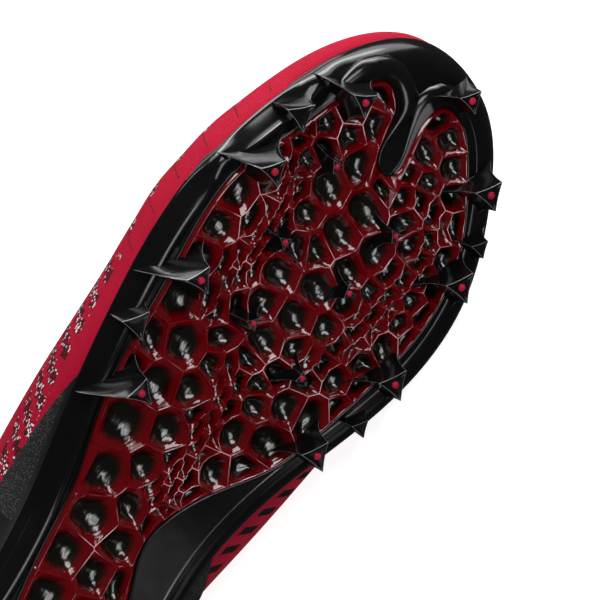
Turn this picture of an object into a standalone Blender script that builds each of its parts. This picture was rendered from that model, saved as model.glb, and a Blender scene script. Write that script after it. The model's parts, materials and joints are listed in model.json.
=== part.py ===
"""Football cleat for the right foot, lying on its medial side on the floor.

Every piece is modelled upright first, in the shoe's own frame: x runs from the heel to the toe,
y is positive towards the medial side and z is up, with the stud tips near z = 0.
At the end one empty lays the whole shoe down on the face of its hull that lies under its weight.
Tables and sizes are in millimetres, and MM turns them into Blender's metres.
"""

import math
from collections import namedtuple

import bmesh
import bpy
import numpy as np
from mathutils import Matrix, Vector

MM = 0.001
GAP = 0.3

# Counts of facets
AROUND = 64
CORNER_STEPS = 4
STUD_STEPS = 3
GRID_X, GRID_Y = 28, 8

# The plate: heights are over the sole line of SOLE_LINE
FLOOR_LOW, FLOOR_HIGH = 0.6, 2.7
POCKET_HIGH = 1.5
LEDGE_INNER_HIGH, LEDGE_OUTER_HIGH = 3.3, 3.8
BAND_WIDTH = 3.0
FLOOR_OVERLAP = 2.0
LIP_OUTER_IN, LIP_INNER_IN, CUP_IN = 0.9, 2.3, 2.55
HONEYCOMB_LOW = -0.3

# The upper
WALL = 1.8
UPPER_IN = 2.95
UPPER_LOW = 4.3
COUNTER_GAP = 0.5
COUNTER_THICK = 0.9
COUNTER_FOOT = 0.15
COUNTER_ROWS = 6
EYELET_RADIUS = 2.2
EYELET_SHARE = 0.86

# The pieces inside the upper and over its throat
INSOLE_IN = 5.3
INSOLE_LOW, INSOLE_HIGH = 4.0, 7.2
TONGUE_THICK = 2.6
TONGUE_GAP = 1.2
LACE_WIDTH, LACE_THICK = 5.0, 1.4
LACE_LIFT = 1.7
LACE_STEP = 0.5

# One row for each place round the foot, from the heel's back along the lateral side to the toe and
# back along the medial side. x and y are the plate's outline, edge the radius of its lower edge and
# lip its height over the sole line. The upper's fullest line stands bulge outside that outline at the
# height girth_z, and its wall ends at top_x, top_y, top_z, leaning in by lean degrees of its arc.
# counter is the share of the wall that the heel counter covers.
Station = namedtuple("Station", "name x y edge lip bulge girth_z top_x top_y top_z lean counter")
STATIONS = [
    Station("heel_back", 0, -7, 5.0, 11, 1.0, 42, 6, -7, 92, 48, 0.60),
    Station("heel_lateral", 33, -40.5, 5.0, 10, 0.5, 42, 35, -33, 84, 46, 0.56),
    Station("ankle_lateral", 80, -41.0, 5.0, 8, 4.0, 38, 78, -34, 70, 52, 0.46),
    Station("waist_lateral", 115, -41.2, 5.0, 7, 4.5, 35, 112, -21, 86, 70, 0.32),
    Station("joint_lateral", 150, -48.2, 4.2, 8, 1.5, 34, 142, -13, 77, 80, 0.16),
    Station("ball_lateral", 180, -52.2, 4.2, 8.5, -1.0, 30, 166, -9.5, 67, 85, -0.10),
    Station("little_toe", 218, -51.3, 4.2, 8.5, -1.0, 30, 188, -7.5, 58.5, 88, -0.10),
    Station("toe_corner_lateral", 252, -39.3, 4.5, 8.5, -0.8, 31, 196, -5, 55, 90, -0.10),
    Station("toe_lateral", 282, -19.0, 6.0, 9, -0.4, 34, 199, -2, 53.5, 90, -0.10),
    Station("toe_tip", 294.6, 4.6, 7.5, 9.5, -0.2, 36, 200, 1, 53, 90, -0.10),
    Station("toe_medial", 283.6, 28.4, 5.0, 9.5, -0.2, 35, 199, 4, 53.5, 90, -0.10),
    Station("big_toe", 265, 43.2, 4.2, 8.5, -0.2, 33, 196, 7, 55, 90, -0.10),
    Station("ball_medial", 228, 53.4, 4.2, 8.5, -0.2, 36, 188, 9.5, 58.5, 88, -0.10),
    Station("joint_medial", 188, 46.6, 4.2, 8, 2.8, 36, 166, 10.5, 67.5, 85, -0.10),
    Station("arch_front", 153, 32.4, 5.0, 7, 10.5, 34, 142, 10, 78, 80, -0.06),
    Station("waist_medial", 117, 23.6, 5.0, 7, 12.0, 36, 112, 11.5, 87, 70, 0.16),
    Station("ankle_medial", 78, 24.8, 5.0, 8, 4.0, 39, 77, 19.5, 72, 52, 0.42),
    Station("heel_medial", 33, 26.5, 5.0, 10, -1.2, 44, 35, 19, 84, 46, 0.56),
]

# The sole line: height of the plate's underside along the foot, with toe spring, arch and heel
SoleRow = namedtuple("SoleRow", "x z")
SOLE_LINE = [
    SoleRow(-10, 18.5),
    SoleRow(20, 14.8),
    SoleRow(55, 14.2),
    SoleRow(85, 16.6),
    SoleRow(115, 18.4),
    SoleRow(145, 16.0),
    SoleRow(175, 13.2),
    SoleRow(205, 12.4),
    SoleRow(235, 13.2),
    SoleRow(262, 15.6),
    SoleRow(285, 19.4),
    SoleRow(305, 24.0),
]

# Outline of the honeycomb insert in the underside, with a notch for the plate's toe channel
HONEYCOMB_OUTLINE = [
    (24, -8), (34, -21), (60, -28), (104, -31), (121, -32), (137, -36), (152, -40), (188, -42.5),
    (213, -40.6), (230, -37), (246, -30), (262, -22.5), (272.5, -14.5), (276.5, -8), (272.5, -2.5),
    (262, -0.5), (252, 2.5), (251.5, 6.5), (262, 9), (273, 9.5), (279, 13.5), (278, 21),
    (270, 28.5), (255, 37), (238, 43), (214, 43), (192, 37.3), (171, 30), (156, 23.5),
    (143, 13), (129, 3), (116, -1), (100, 3), (80, 8), (52, 9), (32, 3),
]

# Moulded studs: x and y of the tip, the way its first fin points, its radii and its height to z = 0
Stud = namedtuple("Stud", "name x y heading_deg base tip lift")
MAIN_STUDS = [
    Stud("stud_toe", 284.5, 14.5, -107, 9.5, 4.6, 6.5),
    Stud("stud_lateral_1", 266.5, -19.5, -88, 13.0, 5.0, 2.0),
    Stud("stud_lateral_2", 234.5, -35.4, -106, 14.0, 5.2, 0.0),
    Stud("stud_lateral_3", 195.3, -38.6, -110, 14.0, 5.2, 0.0),
    Stud("stud_lateral_4", 157.0, -36.5, -112, 12.5, 5.2, 0.8),
    Stud("stud_medial_1", 262.5, 34.4, -107, 12.0, 5.2, 2.0),
    Stud("stud_medial_2", 233.4, 40.6, -107, 13.0, 5.2, 0.0),
    Stud("stud_medial_3", 197.0, 37.4, -107, 12.5, 5.2, 0.0),
    Stud("stud_medial_4", 166.0, 26.6, -107, 12.0, 5.2, 0.8),
    Stud("stud_heel_lateral_front", 62, -29.5, -95, 11.5, 5.2, 0.0),
    Stud("stud_heel_lateral_back", 21, -23.0, -135, 12.0, 5.2, 0.0),
    Stud("stud_heel_medial_front", 62, 14.5, 95, 11.5, 5.2, 0.0),
    Stud("stud_heel_medial_back", 21, 9.0, 135, 12.0, 5.2, 0.0),
]
SMALL_BLADES = [
    Stud("blade_lateral_front", 255.0, -32.0, -95, 8.0, 3.6, 8.0),
    Stud("blade_lateral_back", 177.5, -43.5, -107, 8.0, 3.6, 7.0),
    Stud("blade_medial_front", 247.0, 43.6, -107, 8.0, 3.6, 7.0),
    Stud("blade_medial_back", 180.0, 38.6, -107, 8.0, 3.6, 7.0),
]
CENTRE_STUDS = [
    Stud("stud_centre_1", 245.7, -15.0, -60, 8.5, 2.6, 6.0),
    Stud("stud_centre_2", 236.6, 14.6, 60, 8.5, 2.6, 6.0),
    Stud("stud_centre_3", 217.9, -17.4, -80, 8.5, 2.6, 6.0),
    Stud("stud_centre_4", 214.3, 10.6, 80, 8.5, 2.6, 6.0),
    Stud("stud_centre_5", 191.7, -12.9, -100, 8.5, 2.6, 6.0),
    Stud("stud_centre_6", 184.5, 11.2, 100, 8.5, 2.6, 6.0),
]
PLATE_STUD_ROOT, CENTRE_STUD_ROOT = 2.0, 0.6
STUD_CLEARANCE = 0.6
STUD_SWEEP = 2.8
STUD_HOLLOW = 0.2
STUD_LEVELS = (0.0, 0.12, 0.36, 1.0)

# Throat: the heights of the tongue's sections along the foot and of the eyelet rows
TONGUE_X = (190, 178, 165, 150, 136, 124, 114)
EYELET_X = (184, 168, 151, 134, 118)
TONGUE_SHARES = (0.80, 0.90, 1.0)
TONGUE_TUCK = (14.0, 0.0, -7.5)
TONGUE_FREE_STEPS = ((12.0, 0.78), (23.0, 0.62))
TONGUE_CROWN = 1.2

COLOURS = {
    "outsole_plate": ((0.012, 0.012, 0.014), 0.14),
    "honeycomb_insert": ((0.16, 0.006, 0.014), 0.12),
    "upper": ((0.52, 0.012, 0.035), 0.85),
    "heel_counter": ((0.018, 0.018, 0.019), 0.6),
    "insole": ((0.03, 0.03, 0.032), 0.9),
    "tongue": ((0.42, 0.01, 0.03), 0.9),
    "lace": ((0.02, 0.02, 0.021), 0.85),
}


# Curves through tables

def spline_slopes(knots, values, period=None):
    """Slopes of the cubic spline through the values, natural at its ends or closed over a period."""
    count = len(knots)
    closed = period is not None
    spans = np.diff(np.append(knots, knots[0] + period) if closed else knots)
    matrix = np.zeros((count, count))
    right = np.zeros_like(values)
    for i in range(count):
        if closed or i > 0:
            span, before = spans[i - 1], i - 1
            matrix[i, i] += 2 / span
            matrix[i, before] += 1 / span
            right[i] += 3 * (values[i] - values[before]) / span**2
        if closed or i < count - 1:
            span, after = spans[i], (i + 1) % count
            matrix[i, i] += 2 / span
            matrix[i, after] += 1 / span
            right[i] += 3 * (values[after] - values[i]) / span**2
    return np.linalg.solve(matrix, right)


def hermite(share, span, start, end, slope_start, slope_end):
    """A cubic between two values with given slopes, at a share of the span."""
    s2, s3 = share**2, share**3
    return (
        (2 * s3 - 3 * s2 + 1) * start
        + (s3 - 2 * s2 + share) * span * slope_start
        + (3 * s2 - 2 * s3) * end
        + (s3 - s2) * span * slope_end
    )


class Loop:
    """A closed smooth curve through the rows of a table, whose first two columns are x and y."""

    def __init__(self, rows):
        self.values = np.array(rows, float)
        steps = np.roll(self.values[:, :2], -1, axis=0) - self.values[:, :2]
        chords = np.hypot(steps[:, 0], steps[:, 1])
        self.length = chords.sum()
        self.knots = np.concatenate([[0], np.cumsum(chords)[:-1]])
        self.slopes = spline_slopes(self.knots, self.values, self.length)

    def at(self, place):
        """The columns at a place along the loop, in millimetres from its first row."""
        place = np.mod(place, self.length)
        i = int(np.searchsorted(self.knots, place, side="right")) - 1
        after = (i + 1) % len(self.knots)
        span = np.append(self.knots, self.length)[i + 1] - self.knots[i]
        return hermite(
            (place - self.knots[i]) / span,
            span,
            self.values[i],
            self.values[after],
            self.slopes[i],
            self.slopes[after],
        )

    def outward(self, place):
        """The unit normal of the outline at a place, pointing out of the foot."""
        step = 0.05
        along = (self.at(place + step) - self.at(place - step))[:2]
        return np.array([along[1], -along[0]]) / np.hypot(*along)


FOOT = Loop([row[1:] for row in STATIONS])
SOLE_KNOTS = np.array([row.x for row in SOLE_LINE], float)
SOLE_VALUES = np.array([row.z for row in SOLE_LINE], float)
SOLE_SLOPES = spline_slopes(SOLE_KNOTS, SOLE_VALUES)
PLACES = np.arange(AROUND) * FOOT.length / AROUND


def station_at(place):
    """The table's columns at a place round the foot, by name."""
    return Station("", *FOOT.at(place))


def sole_height(x):
    """Height of the plate's underside at x."""
    i = int(np.clip(np.searchsorted(SOLE_KNOTS, x) - 1, 0, len(SOLE_KNOTS) - 2))
    span = SOLE_KNOTS[i + 1] - SOLE_KNOTS[i]
    ends = SOLE_VALUES[i], SOLE_VALUES[i + 1], SOLE_SLOPES[i], SOLE_SLOPES[i + 1]
    return hermite((x - SOLE_KNOTS[i]) / span, span, *ends)


def outline_point(place, outside):
    """A point of the foot's outline moved outwards, in plan."""
    row = station_at(place)
    return np.array([row.x, row.y]) + outside * FOOT.outward(place)


# The upper's own surface

FLARE_FROM, GIRTH_AT = 0.08, 0.35


def upper_point(place, share):
    """The upper's outer surface: share runs from 0 at its lower edge to 1 at the collar or throat."""
    row = station_at(place)
    edge = np.array([row.x, row.y])
    outward = FOOT.outward(place)
    sole = sole_height(row.x)
    foot = edge - UPPER_IN * outward
    lip_z = sole + row.lip + GAP
    if share < FLARE_FROM:
        low_z = sole + UPPER_LOW
        return np.array([*foot, low_z + (lip_z - low_z) * share / FLARE_FROM])
    girth = edge + row.bulge * outward
    if share < GIRTH_AT:
        turn = math.pi / 2 * (share - FLARE_FROM) / (GIRTH_AT - FLARE_FROM)
        plan = foot + (girth - foot) * math.sin(turn)
        return np.array([*plan, lip_z + (row.girth_z - lip_z) * (1 - math.cos(turn))])
    full = math.radians(row.lean)
    turn = full * (share - GIRTH_AT) / (1 - GIRTH_AT)
    top = np.array([row.top_x, row.top_y])
    inward = (1 - math.cos(turn)) / (1 - math.cos(full))
    rise = math.sin(turn) / math.sin(full)
    return np.array([*(girth + (top - girth) * inward), row.girth_z + (row.top_z - row.girth_z) * rise])


def upper_normal(place, share):
    """Unit normal of the upper's surface, pointing out of the shoe."""
    step_along, step_up = 0.5, 0.004
    low, high = max(share - step_up, 0.0), min(share + step_up, 1.0)
    along = upper_point(place + step_along, share) - upper_point(place - step_along, share)
    up = upper_point(place, high) - upper_point(place, low)
    normal = np.cross(along, up)
    return normal / np.linalg.norm(normal)


def upper_offset(place, share, outside):
    """A point at a distance from the upper's surface, negative inside the shoe."""
    return upper_point(place, share) + outside * upper_normal(place, share)


# Meshes

def collection_named(name):
    collection = bpy.data.collections.new(name)
    bpy.context.scene.collection.children.link(collection)
    return collection


def object_from(name, mesh_data, collection):
    """A named object from a bmesh: a closed one is turned outwards, and millimetres become metres."""
    if all(edge.is_manifold for edge in mesh_data.edges):
        bmesh.ops.recalc_face_normals(mesh_data, faces=mesh_data.faces)
    mesh = bpy.data.meshes.new(name)
    mesh_data.to_mesh(mesh)
    mesh_data.free()
    mesh.transform(Matrix.Scale(MM, 4))
    mesh.shade_smooth()
    mesh.set_sharp_from_angle(angle=math.radians(35))
    made = bpy.data.objects.new(name, mesh)
    collection.objects.link(made)
    return made


def helper_from(name, mesh_data, collection):
    """A cutter or a shape to be joined to another one: it is drawn as a wire and left out of renders."""
    made = object_from(name, mesh_data, collection)
    made.hide_render = True
    made.display_type = "WIRE"
    return made


def loft(sections, around=True, along=False, caps=False):
    """A bmesh of quads between sections of equal counts: around closes each section, along joins the last
    to the first, and caps fills the first and the last."""
    mesh_data = bmesh.new()
    rings = [[mesh_data.verts.new(point) for point in section] for section in sections]
    pairs = list(zip(rings, rings[1:] + rings[:1]))
    for ring, following in pairs if along else pairs[:-1]:
        count = len(ring)
        for i in range(count if around else count - 1):
            j = (i + 1) % count
            mesh_data.faces.new((ring[i], ring[j], following[j], following[i]))
    if caps:
        mesh_data.faces.new(rings[0])
        mesh_data.faces.new(rings[-1])
    return mesh_data


def slab(low, high):
    """A closed sheet that follows the sole line between two heights over it, larger than the foot."""
    mesh_data = bmesh.new()
    margin = 8
    lengths = np.linspace(-margin, STATIONS[9].x + margin, GRID_X + 1)
    widths = np.linspace(-60, 63, GRID_Y + 1)
    bmesh.ops.create_grid(mesh_data, x_segments=GRID_X, y_segments=GRID_Y, size=1)
    for vert in mesh_data.verts:
        column = round((vert.co.x + 1) / 2 * GRID_X)
        row = round((vert.co.y + 1) / 2 * GRID_Y)
        vert.co = (lengths[column], widths[row], sole_height(lengths[column]) + low)
    grown = bmesh.ops.extrude_face_region(mesh_data, geom=mesh_data.faces[:])
    raised = [item for item in grown["geom"] if isinstance(item, bmesh.types.BMVert)]
    bmesh.ops.translate(mesh_data, verts=raised, vec=(0, 0, high - low))
    return mesh_data


def prism(points):
    """An upright prism on a plan outline, taller than the shoe."""
    low, high = -30, 120
    return loft([[(x, y, z) for x, y in points] for z in (low, high)], caps=True)


def boolean(target, operation, operand):
    """Adds a Boolean with an object or with all objects of a collection."""
    modifier = target.modifiers.new(operation.lower(), "BOOLEAN")
    modifier.operation = operation
    modifier.solver = "EXACT"
    if isinstance(operand, bpy.types.Collection):
        modifier.operand_type = "COLLECTION"
        modifier.collection = operand
    else:
        modifier.object = operand


def solidify(target, thickness, offset):
    """Gives an open sheet its wall, outside it for an offset of 1 and inside for -1."""
    modifier = target.modifiers.new("wall", "SOLIDIFY")
    modifier.thickness = thickness * MM
    modifier.offset = offset
    modifier.use_even_offset = True
    modifier.use_rim = True


# Outsole

def rim_section(place):
    """Closed section of the plate's edge: band, rounded edge, side wall, lip and the ledge inside it."""
    row = station_at(place)
    edge = row.edge
    band_inner = edge + BAND_WIDTH
    corner = [
        (edge * (1 - math.sin(turn)), edge * (1 - math.cos(turn)))
        for turn in np.linspace(0, math.pi / 2, CORNER_STEPS + 1)
    ]
    inward_and_up = [
        (band_inner, 0.0),
        *corner,
        (LIP_OUTER_IN, row.lip),
        (LIP_INNER_IN, row.lip),
        (CUP_IN, LEDGE_OUTER_HIGH),
        (band_inner, LEDGE_INNER_HIGH),
    ]
    return [
        (*point, sole_height(point[0]) + up)
        for inward, up in inward_and_up
        for point in [outline_point(place, -inward)]
    ]


def stud_ring(stud, share, root, grown):
    """One level of a three finned stud: sides hollowed between sharp corners, wide at the root."""
    radius = stud.tip + (stud.base - stud.tip) * (1 - share) ** STUD_SWEEP + grown
    root_z = sole_height(stud.x) + root
    height = root_z + (stud.lift - root_z) * share
    sixth = math.pi / 3
    ring = []
    for step in range(3 * STUD_STEPS):
        side, along = divmod(step, STUD_STEPS)
        off_middle = (along / STUD_STEPS * 2 - 1) * sixth
        hollow = 1 - STUD_HOLLOW * (1 - (off_middle / sixth) ** 2)
        reach = radius * 0.5 / math.cos(off_middle) * hollow
        angle = math.radians(stud.heading_deg) + sixth + side * 2 * sixth + off_middle
        ring.append((stud.x + reach * math.cos(angle), stud.y + reach * math.sin(angle), height))
    return ring


def make_studs(studs, root, collection, grown=0.0):
    for stud in studs:
        levels = [stud_ring(stud, share, root, grown) for share in STUD_LEVELS]
        helper_from(f"{collection.name}_{stud.name}", loft(levels, caps=True), collection)


def honeycomb_points(outside):
    """Outline of the honeycomb insert, moved outwards in plan."""
    loop = Loop(HONEYCOMB_OUTLINE)
    places = np.arange(2 * len(HONEYCOMB_OUTLINE)) * loop.length / (2 * len(HONEYCOMB_OUTLINE))
    return [tuple(loop.at(place) + outside * loop.outward(place)) for place in places]


def make_outsole(parts, helpers):
    floor_edge = [
        outline_point(place, -(station_at(place).edge + BAND_WIDTH - FLOOR_OVERLAP)) for place in PLACES
    ]
    floor_shape = helper_from("floor_shape", prism(floor_edge), helpers)
    rim = helper_from("plate_rim", loft([rim_section(place) for place in PLACES], along=True), helpers)
    pocket = helper_from("honeycomb_pocket", slab(-20, POCKET_HIGH), helpers)
    boolean(pocket, "INTERSECT", helper_from("pocket_shape", prism(honeycomb_points(GAP)), helpers))
    plate_studs = collection_named("plate")
    make_studs(MAIN_STUDS + SMALL_BLADES, PLATE_STUD_ROOT, plate_studs)
    plate = object_from("outsole_plate", slab(FLOOR_LOW, FLOOR_HIGH), parts)
    boolean(plate, "INTERSECT", floor_shape)
    boolean(plate, "DIFFERENCE", pocket)
    boolean(plate, "UNION", rim)
    boolean(plate, "UNION", plate_studs)

    room_for_studs = collection_named("room")
    make_studs(MAIN_STUDS + SMALL_BLADES, PLATE_STUD_ROOT, room_for_studs, STUD_CLEARANCE)
    centre_studs = collection_named("insert")
    make_studs(CENTRE_STUDS, CENTRE_STUD_ROOT, centre_studs)
    insert = object_from("honeycomb_insert", slab(HONEYCOMB_LOW, POCKET_HIGH - GAP), parts)
    boolean(insert, "INTERSECT", helper_from("insert_shape", prism(honeycomb_points(0)), helpers))
    boolean(insert, "DIFFERENCE", room_for_studs)
    boolean(insert, "UNION", centre_studs)


# Upper and what it carries

UPPER_SHARES = (0, FLARE_FROM, 0.17, 0.26, GIRTH_AT, 0.45, 0.56, 0.67, 0.78, 0.89, 1.0)


def throat_places(x):
    """The lateral and medial places round the foot where the throat's edge passes x."""
    toe = FOOT.knots[9]
    lateral = np.linspace(FOOT.knots[3], toe, 300)
    medial = np.linspace(toe, FOOT.knots[15], 300)
    edge_x = [[station_at(place).top_x for place in side] for side in (lateral, medial)]
    return (
        float(np.interp(x, edge_x[0], lateral)),
        float(np.interp(-x, [-value for value in edge_x[1]], medial)),
    )


def make_upper(parts, helpers):
    sheet = loft([[upper_point(place, share) for place in PLACES] for share in UPPER_SHARES])
    upper = object_from("upper", sheet, parts)
    solidify(upper, WALL, -1)
    eyelets = collection_named("eyelets")
    for row, x in enumerate(EYELET_X):
        for side, place in zip(("lateral", "medial"), throat_places(x)):
            middle = upper_point(place, EYELET_SHARE)
            axis = Vector(upper_normal(place, EYELET_SHARE))
            hole = bmesh.new()
            bmesh.ops.create_cone(
                hole, cap_ends=True, segments=8, radius1=EYELET_RADIUS, radius2=EYELET_RADIUS, depth=10
            )
            turn = axis.to_track_quat("Z", "Y").to_matrix().to_4x4()
            bmesh.ops.transform(hole, matrix=Matrix.Translation(middle) @ turn, verts=hole.verts)
            helper_from(f"eyelet_{side}_{row + 1}", hole, eyelets)
    boolean(upper, "DIFFERENCE", eyelets)


def make_heel_counter(parts):
    """The moulded overlay round the heel, from the upper's own surface."""
    covered = [place for place in PLACES if station_at(place).counter > COUNTER_FOOT + 0.02]
    halfway = len(PLACES) // 2
    gap_after = max(i for i, place in enumerate(covered) if place < PLACES[halfway])
    run = covered[gap_after + 1 :] + covered[: gap_after + 1]
    rows = [
        [
            upper_offset(
                place, COUNTER_FOOT + (station_at(place).counter - COUNTER_FOOT) * height, COUNTER_GAP
            )
            for place in run
        ]
        for height in np.linspace(0, 1, COUNTER_ROWS)
    ]
    counter = object_from("heel_counter", loft(rows, around=False), parts)
    solidify(counter, COUNTER_THICK, 1)


def make_insole(parts, helpers):
    insole = object_from("insole", slab(INSOLE_LOW, INSOLE_HIGH), parts)
    edge = [outline_point(place, -INSOLE_IN) for place in PLACES]
    boolean(insole, "INTERSECT", helper_from("insole_shape", prism(edge), helpers))


def tongue_section(x):
    """A section of the tongue, from under one side of the throat to under the other."""
    lateral, medial = throat_places(x)
    inside = -(WALL + TONGUE_GAP)
    left = [upper_offset(lateral, share, inside) for share in TONGUE_SHARES]
    right = [upper_offset(medial, share, inside) for share in reversed(TONGUE_SHARES)]
    crest = (left[-1] + right[0]) / 2 + np.array([0, 0, TONGUE_CROWN])
    return np.array([*left, crest, *right])


def make_tongue(parts):
    sections = [tongue_section(x) for x in TONGUE_X]
    tucked = sections[0] + np.array(TONGUE_TUCK)
    last = sections[-1]
    rise = last.mean(axis=0) - sections[-2].mean(axis=0)
    rise /= np.linalg.norm(rise)
    free = []
    for distance, width in TONGUE_FREE_STEPS:
        middle = last.mean(axis=0)
        narrowed = middle + (last - middle) * np.array([1, width, 1])
        free.append(narrowed + rise * distance)
    tongue = object_from("tongue", loft([tucked, *sections, *free], around=False), parts)
    solidify(tongue, TONGUE_THICK, -1)


def lace_path(start, end, lifts, over):
    """Points and normals of a lace from one eyelet over the throat to another, given as places round the
    foot, at two heights over the upper at its ends and raised further over its middle."""
    stops = (
        (start, EYELET_SHARE, lifts[0]),
        (start, 1.0, lifts[0]),
        (end, 1.0, lifts[1]),
        (end, EYELET_SHARE, lifts[1]),
    )
    points = [upper_offset(*stop) for stop in stops]
    normals = [upper_normal(place, share) for place, share, _ in stops]
    points.insert(2, (points[1] + points[2]) / 2 + np.array([0, 0, TONGUE_CROWN + over]))
    normals.insert(2, (normals[1] + normals[2]) / 2)
    return np.array(points), np.array(normals)


def lace_strap(start, end, lifts, over=0.0):
    """A flat lace swept over the throat from one eyelet to another."""
    points, normals = lace_path(start, end, lifts, over)
    across = np.cross(np.gradient(points, axis=0), normals)
    across /= np.linalg.norm(across, axis=1)[:, None]
    half_width, half_thick = LACE_WIDTH / 2, LACE_THICK / 2
    shoulder = half_width * 0.85
    outline = (
        (-half_width, 0),
        (-shoulder, -half_thick),
        (shoulder, -half_thick),
        (half_width, 0),
        (shoulder, half_thick),
        (-shoulder, half_thick),
    )
    sections = [
        [point + sideways * side + up * normal for sideways, up in outline]
        for point, normal, side in zip(points, normals, across)
    ]
    return loft(sections, caps=True)


def make_lace(parts):
    """A bar at the front, then crossings that share their eyelets up to the top row. A crossing leaves its
    eyelet under the one that ends there."""
    rows = [throat_places(x) for x in EYELET_X]
    low, middle, high = LACE_LIFT, LACE_LIFT + LACE_STEP / 2, LACE_LIFT + LACE_STEP
    lace = object_from("lace", lace_strap(*rows[0], (middle, middle)), parts)
    crossings = collection_named("lace_crossings")
    for row, (lower, upper) in enumerate(zip(rows, rows[1:])):
        to_medial = lace_strap(lower[0], upper[1], (low, high), LACE_STEP)
        to_lateral = lace_strap(lower[1], upper[0], (low, high))
        helper_from(f"lace_to_medial_{row + 1}", to_medial, crossings)
        helper_from(f"lace_to_lateral_{row + 1}", to_lateral, crossings)
    boolean(lace, "UNION", crossings)


# Finish and rest

def paint(objects):
    for made in objects:
        colour, roughness = COLOURS[made.name]
        material = bpy.data.materials.new(made.name)
        material.use_nodes = True
        shader = material.node_tree.nodes["Principled BSDF"]
        shader.inputs["Base Color"].default_value = (*colour, 1)
        shader.inputs["Roughness"].default_value = roughness
        shader.inputs["Metallic"].default_value = 0.0
        made.data.materials.clear()
        made.data.materials.append(material)


def evaluated_points(objects):
    """All points of the finished pieces, and their centre of volume."""
    graph = bpy.context.evaluated_depsgraph_get()
    points, weights, centres = [], [], []
    for made in objects:
        mesh = made.evaluated_get(graph).to_mesh()
        mesh.calc_loop_triangles()
        co = np.array([vert.co for vert in mesh.vertices])
        corners = co[np.array([triangle.vertices for triangle in mesh.loop_triangles])]
        volumes = np.linalg.det(corners) / 6
        points.append(co)
        weights.append(volumes.sum())
        centres.append((corners.sum(axis=1) / 4 * volumes[:, None]).sum(axis=0) / volumes.sum())
    centre = np.average(centres, axis=0, weights=weights)
    return np.concatenate(points), centre


def resting_turn(points, centre):
    """The turn that lays the shoe on its medial side, toe along +X: on the hull face that lies under its
    centre and looks most to that side."""
    hull = bmesh.new()
    for point in points:
        hull.verts.new(point)
    bmesh.ops.convex_hull(hull, input=hull.verts[:])
    bmesh.ops.dissolve_limit(hull, angle_limit=0.002, verts=hull.verts[:], edges=hull.edges[:])
    middle = Vector(centre)
    down = Vector((0, 0, -1))
    for face in hull.faces:
        normal = face.normal
        if normal.dot(middle - face.verts[0].co) > 0:
            normal = -normal
        foot = middle - normal * normal.dot(middle - face.verts[0].co)
        inside = all(
            normal.dot((b.vert.co - a.vert.co).cross(foot - a.vert.co))
            * normal.dot((b.vert.co - a.vert.co).cross(face.calc_center_median() - a.vert.co))
            >= 0
            for a, b in zip(face.loops, list(face.loops)[1:] + list(face.loops)[:1])
        )
        if inside and normal.y > down.y:
            down = normal.copy()
    hull.free()
    toe = Vector((1, 0, 0))
    toe = (toe - down * toe.dot(down)).normalized()
    side = (-down).cross(toe)
    return Matrix((toe, side, -down)).to_4x4()


def lay_down(objects, collection):
    points, centre = evaluated_points(objects)
    turn = resting_turn(points, centre)
    turned = points @ np.array(turn)[:3, :3].T
    low, high = turned.min(axis=0), turned.max(axis=0)
    shift = Vector((-(low[0] + high[0]) / 2, -(low[1] + high[1]) / 2, -low[2]))
    shoe = bpy.data.objects.new("shoe", None)
    collection.objects.link(shoe)
    shoe.matrix_world = Matrix.Translation(shift) @ turn
    for made in bpy.data.objects:
        if made is not shoe:
            made.parent = shoe


def main():
    for old in list(bpy.data.objects):
        bpy.data.objects.remove(old)
    parts = collection_named("football_cleat")
    helpers = collection_named("cutters")
    make_outsole(parts, helpers)
    make_upper(parts, helpers)
    make_heel_counter(parts)
    make_insole(parts, helpers)
    make_tongue(parts)
    make_lace(parts)
    pieces = list(parts.objects)
    paint(pieces)
    lay_down(pieces, parts)


main()
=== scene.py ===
# %% [markdown]
# # Dressing a football cleat
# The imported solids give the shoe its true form. This lesson gives it its surfaces: a glossy moulded plate
# with three-cornered studs, a red honeycomb in its underside, a knitted upper and a grained heel overlay.
# The solids are loaded first and never moved. Each new piece is built over them in the same frame, and it
# then stands for the solid that it covers.

# %% Load the solids
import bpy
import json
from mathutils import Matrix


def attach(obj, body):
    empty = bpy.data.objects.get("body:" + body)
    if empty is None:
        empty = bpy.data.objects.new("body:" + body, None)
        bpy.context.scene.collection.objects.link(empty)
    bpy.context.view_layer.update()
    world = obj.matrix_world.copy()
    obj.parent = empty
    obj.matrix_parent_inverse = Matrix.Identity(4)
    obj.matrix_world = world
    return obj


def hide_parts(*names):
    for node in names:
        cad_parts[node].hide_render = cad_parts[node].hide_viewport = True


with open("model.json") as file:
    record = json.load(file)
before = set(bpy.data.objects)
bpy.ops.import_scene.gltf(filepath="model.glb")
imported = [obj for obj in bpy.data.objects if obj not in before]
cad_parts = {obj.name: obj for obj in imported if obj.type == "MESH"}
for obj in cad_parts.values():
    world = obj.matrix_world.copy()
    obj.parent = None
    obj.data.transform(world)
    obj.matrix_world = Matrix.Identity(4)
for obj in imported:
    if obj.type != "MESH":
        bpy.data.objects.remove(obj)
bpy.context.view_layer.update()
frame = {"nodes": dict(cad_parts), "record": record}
print("solids:", sorted(frame["nodes"]))

# %% Modules
import json
import math

import bmesh
import bpy
import numpy as np
from mathutils import Matrix, Vector

# %% [markdown]
# The shoe lies on its medial side, but it is easier to shape upright: x from the heel to the toe, y to the
# medial side and z up, in millimetres. Two stud tips are mounts in the record. Their places in both frames,
# with the way the tips face, give the turn and the shift from the upright shoe to the floor.

# %% From the upright shoe to the floor
MM = 0.001
BALL_TIP = Vector((195.3, -38.6, 0.0))
HEEL_TIP = Vector((21.0, -23.0, 0.0))


def basis(along, up):
    """A rotation whose columns are a forward direction, the side to its left and an up direction."""
    forward = along.normalized()
    return Matrix((forward, up.cross(forward), up)).transposed()


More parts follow.
